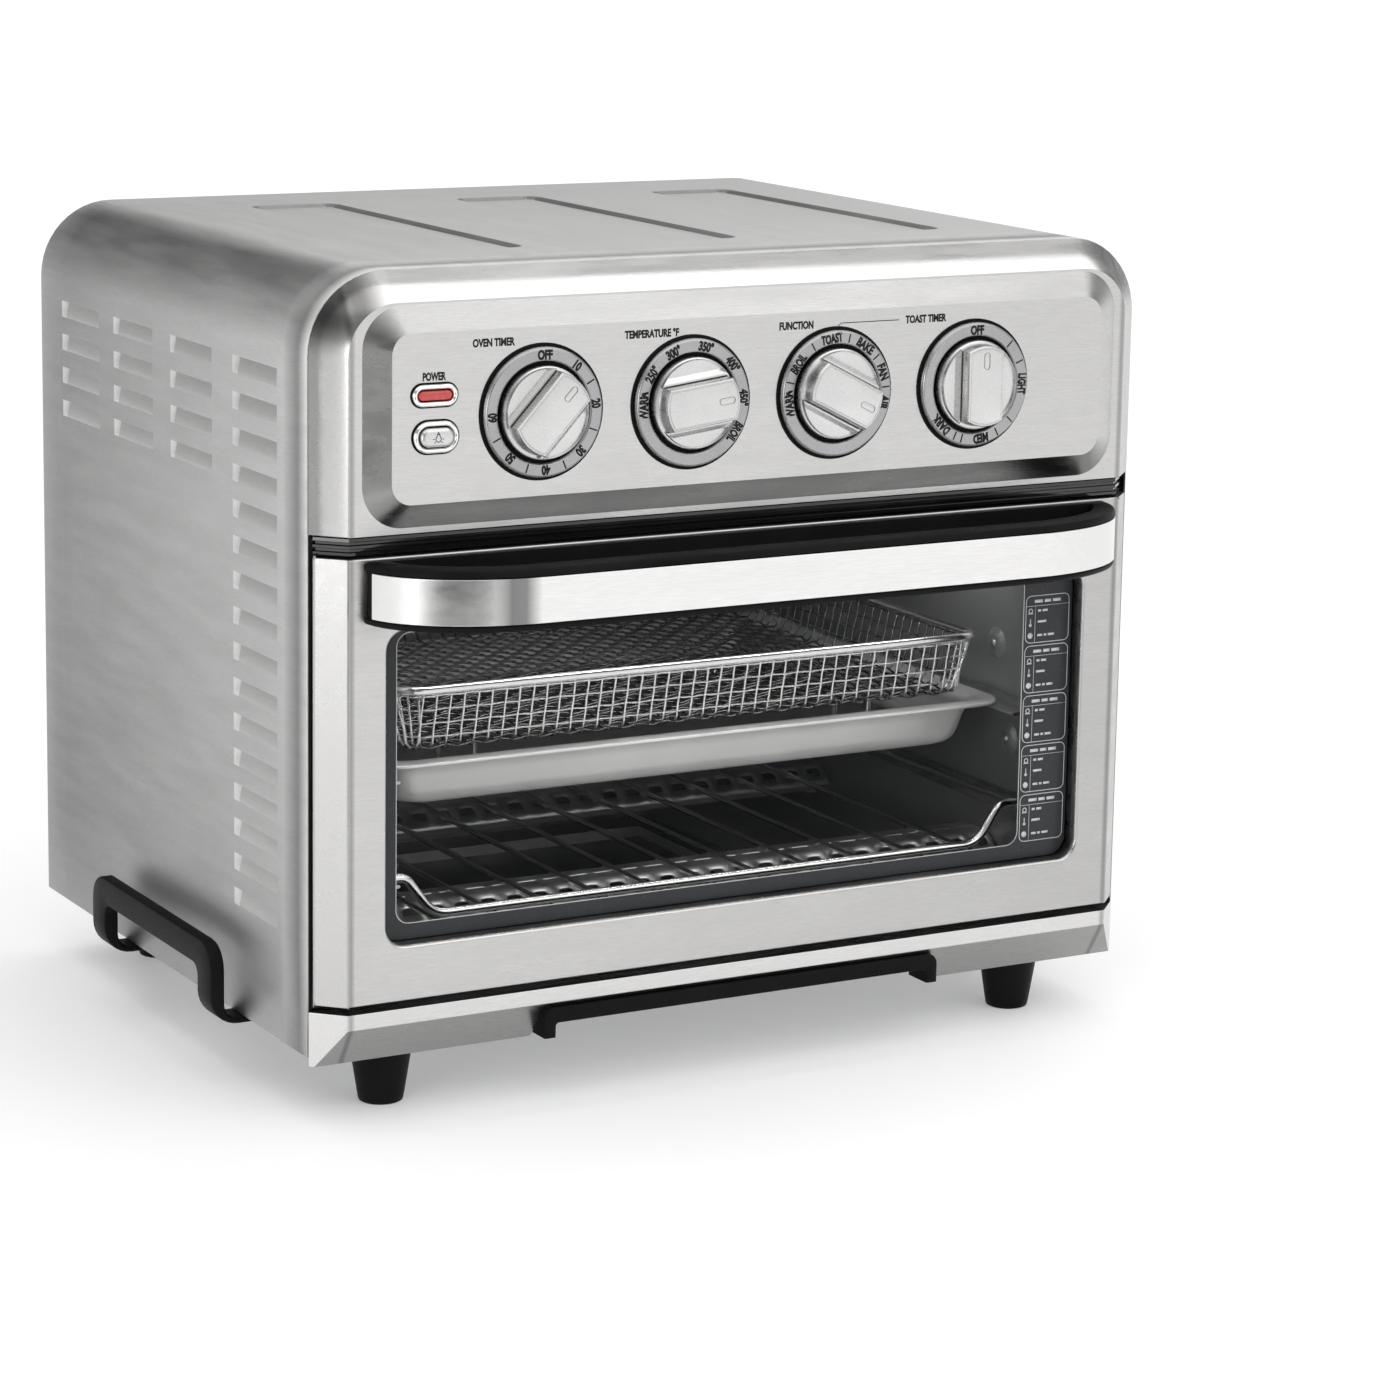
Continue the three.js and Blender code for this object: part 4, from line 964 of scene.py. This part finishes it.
def knob(name, centre):
    """A turned disc with a shallow crescent on each side of the outlined grip bar, and the pointer's slot."""
    x, z = centre
    turn = math.radians(DIALS[name]["angle"])
    s, c = math.sin(turn), math.cos(turn)

    def at(outline, h, flip=1):
        return [(x + flip * u * c + v * s, FIELD_Y - h, z - flip * u * s + v * c) for u, v in outline]

    base, top, rim = GRIP["disc"], GRIP["top"], KNOB_RADIUS
    skirt = [(3.5, 0.6), (rim - 0.5, 0.6), (rim, 1.2), (rim, base - 0.9), (rim - 0.25, base - 0.35)]
    skirt += [(rim - 0.9, base), (3.5, base + 0.05)]
    bm = bmesh.new()
    lathe(bm, [(r, FIELD_Y - h) for r, h in skirt], (x, 0, z), "y", 72)
    levels = [(9.3, 18.7, -0.4), (9.6, 18.6, 1.5), (9.9, 18.5, 1.75), (10.5, 18.4, 1.75)]
    levels += [(12.0, 18.2, 0.8), (12.4, 18.2, 0.6), (13.0, 18.2, 0.55)]
    for flip in (1, -1):
        loft(bm, [at(crescent(edge, radius), base + h, flip) for edge, radius, h in levels])
    walls = [(0.0, base - 0.5), (0.5, top - 1.2), (0.65, top - 0.5), (0.95, top - 0.1), (1.3, top - 0.05)]
    walls += [(1.5, top - 0.35), (1.75, top - 0.35), (1.95, top - 0.05), (2.6, top + 0.05)]
    rings = [at(grip_outline(inset), h) for inset, h in walls]
    slot = [(1.6, 0, 0.05), (1.45, 0.15, -0.45), (1.2, 0.4, -0.5), (1.0, 0.6, -0.1), (0.6, 1.0, 0)]
    rings += [at(pointer_outline(half, 7.4 + d, 15.2 - d), top + h) for half, d, h in slot]
    loft(bm, rings)
    piece(f"{name}_turning_knob", bm, knob_metal, f"{name}_knob", f"{name}_dial", sharp=32)


# ---------------------------------------------------------------- lamp, light button and labels
def pill_piece(name, node, material, centre, half_h, section, body=ROOT, **look):
    """A round-ended part on the panel: section is a list of (inset, height above the field)."""
    rings = [at_y(pill(centre, 10 - inset, half_h - inset), FIELD_Y - h) for inset, h in section]
    lofted(name, rings, material, node, body, **look)


def lamp_and_button():
    rim = [(0.0, 0.1), (0.0, 1.1), (0.35, 1.75), (0.95, 2.0), (1.6, 1.75), (2.1, 1.0)]
    rim += [(2.15, -2.5), (1.3, -2.5), (1.3, 0.1)]
    # A thin black outline round each chrome ring: painted shadow.
    shadow_halo = [(-0.7, 0.04), (-0.7, 0.22), (0.2, 0.22), (0.2, 0.04)]
    lens_dome = [(2.6, -7), (2.6, 0.9), (2.75, 1.25), (3.1, 1.5), (3.8, 1.6)]
    button_dome = [(2.6, -5.5), (2.6, 1.7), (2.8, 2.4), (3.3, 2.85), (4.2, 3.05), (5.2, 3.1)]
    lamp_cap = ("lamp_lens", "power_lamp_lens", lens, lens_dome, ROOT)
    button_cap = ("light_push_button", "light_button", knob_metal, button_dome, "light_push")
    caps = (("lamp_ring", "power_lamp_bezel", 4.5, lamp_cap), ("button_ring", "light_button_bezel", 6.5, button_cap))
    for ring, bezel, half_h, (cap, node, material, dome, body) in caps:
        centre = middle(bezel)
        pill_piece(ring, bezel, chrome, centre, half_h, rim, close_rings=True, sharp=50)
        pill_piece(f"{ring}_gasket", None, black, centre, half_h, shadow_halo, close_rings=True)
        pill_piece(cap, node, material, centre, half_h, dome, body)

    button = middle("light_button_bezel")
    bm = bmesh.new()

    def place(u, v):
        return (button[0] + u, FIELD_Y - 3.13, button[1] + v)

    bulb = [(1.2 * math.sin(a), -0.5 - 1.2 * math.cos(a)) for a in sweep(-140, 140, 10)]
    stroke(bm, [(-0.5, 1.2), *bulb, (0.5, 1.2)], 0.34, place)
    for half, v in ((0.65, 1.5), (0.3, 2.1)):
        stroke(bm, [(-half, v), (half, v)], 0.5, place)
    for angle in (-130, -90, 90, 130):
        a = math.radians(angle)
        stroke(bm, [(r * math.sin(a), -0.5 + r * math.cos(a)) for r in (1.7, 2.4)], 0.3, place)
    print_piece("light_button_icon", bm, black_print, "light_push")


def panel_labels():
    bm = bmesh.new()

    def flat(cx, cz):
        return lambda u, v: (cx + u, FIELD_Y - 0.05, cz + v)

    for dial in DIALS.values():
        text, cx = dial["label"]
        letter(bm, text, 3.1, flat(cx, 324.9), 0.74, 0.045)
    letter(bm, "POWER", 3.1, flat(-153, 312.4), 0.66, 0.045)
    stroke(bm, [(35.2, 322.6), (37.6, 324.9), (66.4, 324.9)], 0.35, flat(0, 0))
    print_piece("panel_lettering", bm, black_print)


# ---------------------------------------------------------------- small outside parts
def feet():
    profile = [(4.0, 0), (8.6, 0), (9.3, 0.35), (9.6, 1.0), (10.3, 5.0), (12.9, 21.5), (13.3, 23.0), (14.3, 24.2)]
    profile += [(14.5, 25.2), (14.5, 29.2), (4.0, 29.3)]
    for node in [f"foot_{end}_{side}" for end in ("front", "rear") for side, _ in SIDES]:
        lo, hi = cad(node)
        bm = bmesh.new()
        lathe(bm, profile, ((lo.x + hi.x) / 2, (lo.y + hi.y) / 2, 0), "z", 56)
        piece(f"{node}_rubber", bm, black, node, sharp=45)


# Widths of the grips' legs and bar, thickness of the band and of its hooks, then outer radii and soft edges.
GRIP_BAND = {"leg": 15.5, "bar": 12.0, "thick": 6.6, "foot": 2.6, "bend": 13.0, "corner": 12.0, "low": 5.0, "soft": 1.1}


def side_grips():
    """Bent bands that stand off the wrap; the ends of their legs hook in under the body."""
    leg, bar, band, foot, bend, corner, low, soft = GRIP_BAND.values()
    quarter = [(math.sin(a), math.cos(a)) for a in sweep(0, 90, 8)]
    for side, sign in SIDES:
        node = f"side_handle_{side}"
        lo, hi = cad(node)
        out, y0, y1, z0, z1 = max(abs(lo.x), abs(hi.x)), lo.y, hi.y, lo.z, hi.z
        r = bend - band
        hook = [(out - bend + bend * s, z0 + bend - bend * c) for s, c in quarter]
        inner_hook = [(out - bend + r * s, z0 + foot + r - r * c) for s, c in quarter]
        hook.insert(0, (out - 24, z0))
        inner_hook.insert(0, (out - 24, z0 + foot))

        def u_shape(x, inset):
            """Outline of the upside-down U at a given depth, as outer and inner points."""
            r_out, r_in = corner - inset, low + inset
            outer = [(y0 + inset, 41.0)] + [(y0 + corner - r_out * c, z1 - corner + r_out * s) for s, c in quarter]
            inner = [(y0 + leg - inset, 41.0)]
            inner += [(y0 + leg + low - r_in * c, z1 - bar - low + r_in * s) for s, c in quarter]
            return [[(x, y, z) for y, z in line + [(y0 + y1 - y, z) for y, z in line[::-1]]] for line in (outer, inner)]

        # Rings run round the band's section: along outer edges, over the front face, back along inner edges.
        depths = ((out - band, soft), (out - band + soft, 0), (out - soft, 0), (out - 0.3, 0.35), (out, soft))
        faces = [u_shape(x, inset) for x, inset in depths]
        section = list(zip(*[outer for outer, _ in faces], *[inner for _, inner in reversed(faces)]))
        legs = []
        for start, end, flip in ((y0, y0 + leg, 1), (y1, y1 - leg, -1)):
            rings = []
            for po, pi in zip(hook, inner_hook):
                d = Vector((po[0] - pi[0], po[1] - pi[1]))
                n = d.normalized()
                levels = ((d.length, soft), (d.length - soft, 0), (soft, 0), (0.3, 0.35), (0, soft))
                edge = [(depth, start + flip * inset) for depth, inset in levels]
                edge += [(depth, end - flip * inset) for depth, inset in levels[::-1]]
                rings.append([(po[0] - n.x * depth, y, po[1] - n.y * depth) for depth, y in edge])
            legs.append(rings)
        rings = legs[0] + section + legs[1][::-1]
        lofted(f"{node}_band", [mirror_x(ring, sign) for ring in rings], black, node, sharp=40)


def tray_pull():
    """The crumb tray's pull: a bar along the top of the rail's notch, its ends turned down and outwards."""
    lo, hi = cad("crumb_tray_pull")
    top, low, half = hi.z, lo.z, hi.x
    thick, tip, turn, inner_turn = 6.7, 5.6, 4.4, 1.4

    def bend(end, r, level):
        line = [(end, low + 1.2), (end, low + 2.5)]
        line += [(end - r + r * math.cos(a), level - r + r * math.sin(a)) for a in sweep(0, 90, 6)]
        return line + [(0, level)]

    rings = []
    for (ox, oz), (ix, iz) in zip(bend(half, turn, top), bend(half - tip, inner_turn, top - thick)):
        across = Vector((ix - ox, iz - oz))
        n = across.normalized()
        soft = min(0.9, across.length / 3)
        levels = ((soft, lo.y), (soft * 0.3, lo.y + 0.3), (0, lo.y + 0.9), (0, hi.y))
        ring = [(ox + n.x * d, y, oz + n.y * d) for d, y in levels]
        rings.append(ring + [(ix - n.x * d, y, iz - n.y * d) for d, y in levels[::-1]])
    rings = [mirror_x(ring) for ring in rings[:-1]] + rings[::-1]
    lofted("tray_pull_bar", rings, black, "crumb_tray_pull", "crumb_tray_drawer", sharp=40)


# ---------------------------------------------------------------- inside the oven
def pan():
    """Sections are (inset, z, corner radius), from the middle of the underside round the rim to the inside."""
    lo, hi = cad("baking_pan")
    levels = [(24, 120.5, 14), (18.5, 120.6, 14), (16.6, 121.4, 13), (15.0, 123.4, 12), (14.0, 126.5, 11)]
    levels += [(12.4, 133.5, 11), (10.4, 139.3, 11), (9.4, 140.6, 11), (8.2, 141.0, 12), (2.0, 140.9, 15)]
    levels += [(0.7, 140.3, 16), (0.15, 140.6, 16), (0, 141.2, 16), (0.3, 141.8, 16), (1.0, 142, 15.5)]
    levels += [(8.6, 141.9, 12), (9.8, 141.4, 11), (11.2, 139.5, 10.5), (13.2, 133.5, 10), (14.8, 126.6, 9.5)]
    levels += [(15.8, 123.9, 9), (17.4, 122.1, 9), (19.2, 121.5, 9), (24, 121.4, 9)]
    rings = [at_z(rounded(lo.x + i, hi.x - i, lo.y + i, hi.y - i, r, None, 12), z) for i, z, r in levels]
    lofted("pan_pressed", rings, aluminium, "baking_pan", "pan", sharp=50)


PITCH, WIRE, WAVE = 6.6, 0.5, 0.62
SWING = (0, 1, 0, -1)
BASKET = {"floor": 145.2, "lean": 5.0, "bend": 4.0, "margin": 1.8, "corner": 9.0}


def crimped(bm, path, start):
    """A woven wire through (point, normal) pairs, bent to and fro across the mesh at every half pitch."""
    points = []
    for i, (p, n) in enumerate(path):
        on_wall = abs(n[2]) < 0.5
        points.append(Vector(p) + Vector(n) * (SWING[i % 4] * start * WAVE * (0.3 if on_wall else 1.0)))
    tube(bm, points, WIRE, 5)


def basket_run(a, b, top):
    """Half-pitch steps down one wall, along the floor and up the other, as (along, z, normal)."""
    floor, lean, bend = BASKET["floor"], BASKET["lean"], BASKET["bend"]
    a, b = a + BASKET["margin"], b - BASKET["margin"]
    drop = top - floor
    wall = math.hypot(drop - bend, lean)
    corner = bend * math.pi / 2
    total = 2 * wall + 2 * corner + (b - a) - 2 * (lean + bend)
    steps = 2 * round(total / PITCH)
    run = []
    for k in range(steps + 1):
        s = min(total * k / steps, total - total * k / steps)
        if s < wall:
            along, z, n = a + lean * s / wall, top - (drop - bend) * s / wall, (-1, -0.15)
        elif s < wall + corner:
            turn = (s - wall) / bend
            along, z = a + lean + bend * (1 - math.cos(turn)), floor + bend * (1 - math.sin(turn))
            n = (-math.cos(turn), -math.sin(turn))
        else:
            along, z, n = a + lean + bend + (s - wall - corner), floor, (0, -1)
        run.append((along, z, n) if 2 * k <= steps else (a + b - along, z, (-n[0], n[1])))
    return run


def basket_hoop(bm, lo, hi, z, inset, start):
    """One wire around the walls."""
    r = BASKET["corner"]
    x0, x1, y0, y1 = lo.x + inset + r, hi.x - inset - r, lo.y + inset + r, hi.y - inset - r
    loop = [
        (Vector((cx + r * math.cos(a), cy + r * math.sin(a), z)), Vector((math.cos(a), math.sin(a), 0)))
        for cx, cy, start_angle in ((x1, y0, -90), (x1, y1, 0), (x0, y1, 90), (x0, y0, 180))
        for a in sweep(start_angle, start_angle + 90, 4)
    ]
    path = []
    for (p, n), (q, m) in zip(loop, loop[1:] + loop[:1]):
        steps = max(1, 2 * round((q - p).length / PITCH))
        path += [(p.lerp(q, k / steps), n.lerp(m, k / steps).normalized()) for k in range(steps)]
    tube(bm, [p + n * SWING[k % 4] * start * WAVE for k, (p, n) in enumerate(path)], 0.4, 5, closed=True)


def basket():
    """Woven wire basket on a bright rim, standing in the pan on four wire feet."""
    lo, hi = cad("air_fry_basket")
    rim_z, floor, bend = hi.z - 2.0, BASKET["floor"], BASKET["bend"]
    top = rim_z - 1.0
    bm = bmesh.new()
    side_run, deep_run = basket_run(lo.x, hi.x, top), basket_run(lo.y, hi.y, top)
    edge = BASKET["margin"] + BASKET["lean"] + bend
    width, depth = hi.x - lo.x - 2 * edge, hi.y - lo.y - 2 * edge
    columns, rows = round(width / PITCH), round(depth / PITCH)
    for i in range(columns + 1):
        x = lo.x + edge + width * i / columns
        crimped(bm, [((x, a, z), (0, *n)) for a, z, n in deep_run], 1 - 2 * (i % 2))
    for j in range(rows + 1):
        y = lo.y + edge + depth * j / rows
        crimped(bm, [((a, y, z), (n[0], 0, n[1])) for a, z, n in side_run], 2 * (j % 2) - 1)
    for level in range(4):
        z = floor + bend + 1.6 + level * 6.2
        inset = BASKET["margin"] + BASKET["lean"] * (top - z) / (top - floor - bend)
        basket_hoop(bm, lo, hi, z, inset, 1 - 2 * (level % 2))
    # Three wires in each rounded corner, from the rim down to the floor.
    rings = [rounded(lo.x + d, hi.x - d, lo.y + d, hi.y - d, r, None, 6) for d, r in ((2, 9), (7.5, 6))]
    for k, (p, q) in enumerate(zip(*rings)):
        if k % 7 in (1, 3, 5):
            tube(bm, [(*p, top), (*q, floor + 3), (q[0] * 0.985, q[1] + (151 - q[1]) * 0.02, floor)], WIRE, 5)
    mesh = piece("basket_mesh", bm, [basket_wire, shaded_basket_wire], "air_fry_basket", "basket", sharp=180)
    # Painted shade: the floor and all wires behind the front wall take the dark copy of the wire.
    for face in mesh.data.polygons:
        if face.center.z < (floor + 1.3) * MM or face.center.y > FRONT_Y + (lo.y + 20) * MM:
            face.material_index = 1

    bm = bmesh.new()
    tube(bm, at_z(rounded(lo.x + 2, hi.x - 2, lo.y + 2, hi.y - 2, 10, None, 10), rim_z), 2.0, 16, closed=True)
    for x, y in ((x, y) for x in (-100, 100) for y in (80, 220)):
        foot = [(-9, floor - 1.0), (-9, 125.5), (-7.5, 123.6), (-5.5, 123.2)]
        tube(bm, [(x + d, y, z) for d, z in foot + [(-d, z) for d, z in foot[::-1]]], 1.1, 8)
    piece("basket_rim", bm, rim_rod, None, "basket", sharp=60)


def eased(points, seg=5):
    """A path with its inner corners rounded."""
    pts = [Vector(p) for p in points]
    out = [pts[0]]
    for a, b, c in zip(pts, pts[1:], pts[2:]):
        cut = min(7.0, (a - b).length / 2.2, (c - b).length / 2.2)
        start, end = b + (a - b).normalized() * cut, b + (c - b).normalized() * cut
        out += [start.lerp(b, i / seg).lerp(b.lerp(end, i / seg), i / seg) for i in range(seg + 1)]
    return out + [pts[-1]]


def rack():
    """Chrome rack: front and rear rails with their ends bent up onto the guides, and eleven wires."""
    rail_z, ledge_z, front, rear = 79.0, 96.3, 28.5, 272.0
    x_end = cad("wire_rack")[1].x - 1.2
    bm = bmesh.new()
    for y in (front, rear):
        half = [(136.0, y, rail_z), (148.5, y, ledge_z), (x_end, y, ledge_z)]
        tube(bm, eased(mirror_x(half[::-1]) + half), 2.0, 12)
    for x in (1.2 - x_end, x_end - 1.2):
        tube(bm, [(x, front - 0.3, ledge_z), (x, rear + 0.3, ledge_z)], 1.9, 10)
    for i in range(-5, 6):
        tube(bm, [(i * 26.7, y, rail_z - 3.1) for y in (27.6, 60, 240, 272.9)], 1.35, 8)
    piece("rack_wires", bm, chrome, "wire_rack", "rack", sharp=60)


def arch_point(u, s, centre):
    """Point on the heater guard's arch, s counted along it from its ridge."""
    flat, run, rise, ridge = 7.0, 15.2, 8.4, 74.4
    t = min(max((abs(s) - flat) / run, 0), 1)
    return (u, centre + math.copysign(min(abs(s), flat) + 13.0 * t, s), ridge - rise * t * t * (1.6 - 0.6 * t))


def perforated_guard(name, node):
    """Arched heater guard with a row of slots along its ridge and rounded holes down both slopes."""
    lo, hi = cad(node)
    centre = (lo.y + hi.y) / 2
    cells, seg = 26, 6
    width = (hi.x - lo.x) / cells
    steps = [i / seg for i in range(seg)]
    # Bands along the sheet: where each starts and ends, and half the size of its holes.
    bands = ((-22.2, -8.4, 3.8, 2.9), (-8.4, -2.4, 0, 0), (-2.4, 2.4, 4.7, 0.8))
    bands += ((2.4, 8.4, 0, 0), (8.4, 22.2, 3.8, 2.9))
    bm = bmesh.new()

    def patch(edge):
        return [bm.verts.new(arch_point(u, s, centre)) for u, s in edge]

    def bulge(a):
        """Cosine and sine of an oblong with soft corners."""
        return (math.copysign(abs(value) ** 0.6, value) for value in (math.cos(a), math.sin(a)))

    for s0, s1, half_u, half_s in bands:
        deep = s1 - s0
        for u0 in (lo.x + c * width for c in range(cells)):
            if not half_u:
                for p, a in ((u0 + width * t, s0 + deep * k) for k in steps for t in steps):
                    q, b = p + width / seg, a + deep / seg
                    bm.faces.new(patch([(p, a), (q, a), (q, b), (p, b)]))
                continue
            edge = [(u0 + width * t, s0) for t in steps] + [(u0 + width, s0 + deep * t) for t in steps]
            edge += [(u0 + width * (1 - t), s1) for t in steps] + [(u0, s1 - deep * t) for t in steps]
            mid_u, mid_s = u0 + width / 2, (s0 + s1) / 2
            hole = []
            for u, s in edge:
                cosine, sine = bulge(math.atan2((s - mid_s) / deep, (u - mid_u) / width))
                hole.append((mid_u + half_u * cosine, mid_s + half_s * sine))
            outer, inner = patch(edge), patch(hole)
            for i in range(len(edge)):
                j = (i + 1) % len(edge)
                bm.faces.new((outer[i], outer[j], inner[j], inner[i]))
    # The guards take the brighter zinc copy: painted light.
    piece(name, bm, zinc_painted_light, node, sharp=50, sheet=0.8, grow=0)


def wall_rivets():
    """Pressed dimples with a rivet on each side wall, where the rack guides are held."""
    wall = 165.0
    dome = [(0.4, 3.0), (1.0, 2.9), (1.5, 2.5), (1.7, 2.0), (2.2, 1.9), (3.4, 1.75), (4.8, 1.2), (6.2, 0.45)]
    dome += [(7.2, 0.05), (7.2, -0.2), (0.4, -0.2)]
    bm = bmesh.new()
    for _, sign in SIDES:
        for y, z in ((59.6, 163.8), (47.3, 121.3), (248, 163.8), (248, 121.3)):
            lathe(bm, [(r, sign * (wall - out)) for r, out in dome], (0, y, z), "x", 32)
    piece("cavity_rivets", bm, enamel, sharp=60)


def rack_guides():
    """Folded guide rails on the side walls: two rounded ledges on a strip."""
    wall, lip = 164.6, 152.2
    section = [(wall, -3.5), (wall - 1.0, -3.2), (wall - 1.4, -1.6), (lip + 0.6, -1.5), (lip, -1.0), (lip, -0.5)]
    section += [(lip + 0.6, 0), (wall - 1.6, 0), (wall - 1.2, 0.4), (wall - 1.0, 2.6), (wall, 3.0)]
    for side, sign in SIDES:
        node = f"rack_guide_{side}"
        lo, hi = cad(node)
        bm = bmesh.new()
        for ledge in (94.0, 138.6):
            loft(bm, [[(sign * x, y, ledge + z) for x, z in section] for y in (lo.y, hi.y)])
        piece(f"{node}_ledges", bm, zinc, node, sharp=40)


def glass_chart():
    """A column of five small framed cooking hints, as plain symbols and bars, on the dark border."""
    y = cad("door_glass")[0].y - 0.06
    bm = bmesh.new()

    def place(u, v):
        return (u, y, v)

    def bar(u0, u1, v, width):
        stroke(bm, [(u0, v), (u1, v)], width, place)

    left, right, height, pitch, head = 145.6, 168.6, 21.3, 22.75, 4.6
    symbol = left + 2.5
    for z1 in (195.8 - k * pitch for k in range(5)):
        z0 = z1 - height
        stroke(bm, rounded(left, right, z0, z1, 2.6, None, 4), 0.32, place, closed=True)
        stroke(bm, [(left + 5.0, z1 - head), (left + 5.0, z0 + 0.2)], 0.2, place)
        bar(left + 0.3, right - 0.3, z1 - head, 0.2)
        for u0, u1 in ((4.5, 8.8), (9.8, 13.2), (14.2, 18.4)):
            bar(left + u0, left + u1, z1 - 2.5, 1.35)
        scales, thermometer, clock = z1 - 7.0, z1 - 12.0, z1 - 18.2
        bar(left + 1.2, left + 3.8, scales - 1.0, 0.45)
        disc(bm, (symbol, scales + 0.2), 1.15, place, 0.75)
        stroke(bm, [(symbol, thermometer + 1.6), (symbol, thermometer - 0.9)], 0.45, place)
        disc(bm, (symbol, thermometer - 1.2), 0.75, place)
        disc(bm, (symbol, clock + 0.2), 1.35, place)
        words = ((scales, 6.4, 8.0), (scales, 8.8, 11.6), (thermometer, 6.4, 11.0))
        words += ((clock, 6.4, 9.0), (clock, 9.8, 11.2), (clock, 12.0, 15.4))
        for row, u0, u1 in words:
            bar(left + u0, left + u1, row + 0.2, 1.05)
    print_piece("glass_chart_print", bm, pale_print, "door")

    # The border's bright edge line around the clear area.
    bm = bmesh.new()
    stroke(bm, CLEAR_AREA, 0.35, place, closed=True)
    print_piece("glass_edge_line", bm, pale_print, "door")


def rear_screws():
    """Cross-recessed screws around the rear cover."""
    y = cad("rear_cover")[1].y
    dome = [(0.3, -0.2), (3.6, -0.2), (3.6, 0.05), (3.3, 0.45), (2.4, 0.8), (1.2, 0.95), (0.9, 0.4), (0.3, 0.3)]
    bm = bmesh.new()
    cross = ((-1.6, -0.3), (1.6, -0.3), (1.6, 0.3), (-1.6, 0.3))
    places = [(side * 188, z) for _, side in SIDES for z in (44, 130, 216, 300)]
    for x, z in places + [(side * 90, z) for z in (340, 38) for _, side in SIDES]:
        lathe(bm, [(r, y + h) for r, h in dome], (x, 0, z), "y", 20)
        for a in (0.6, 0.6 + math.pi / 2):
            c, s = math.cos(a), math.sin(a)
            mark = [(x + u * c - v * s, z + u * s + v * c) for u, v in cross]
            loft(bm, [at_y(mark, y + 0.7), at_y(mark, y + 1.0)])
    piece("rear_cover_screws", bm, zinc)


def paint_kept_nodes():
    """Gives the CAD nodes that stay in view their materials."""
    finishes = (
        (zinc, "rear_cover base_plate control_bracket fan_motor fan_cover hinge_bracket_left hinge_bracket_right"),
        (enamel, "cavity_liner"),
        (frame_black, "front_frame door_inner_frame"),
        (black, "light_switch cord_gland"),
        (ceramic, "oven_timer_movement toast_timer_movement thermostat function_switch"),
        (quartz, "lower_heater_front lower_heater_rear upper_heater_front upper_heater_rear"),
        (chrome, "hinge_pin_left hinge_pin_right"),
        (aluminium, "crumb_tray fan_blade"),
        (lamp_glass, "oven_lamp_cover oven_lamp_bulb"),
    )
    for material, nodes in finishes:
        for node in nodes.split():
            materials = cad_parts[node].data.materials
            materials.clear()
            materials.append(material)


make_stage()
make_camera()
wrap_shell()
control_panel()
gap_line()
seam_strip()
base_rail()
door_frame()
door_glass()
glass_chart()
door_handle()
for dial in DIALS:
    at = middle(f"{dial}_ring")
    dial_ring(dial, at)
    knob(dial, at)
lamp_and_button()
panel_labels()
feet()
side_grips()
tray_pull()
rack_guides()
wall_rivets()
perforated_guard("guard_front_perforated", "heater_guard_front")
perforated_guard("guard_rear_perforated", "heater_guard_rear")
rack()
pan()
basket()
rear_screws()
paint_kept_nodes()
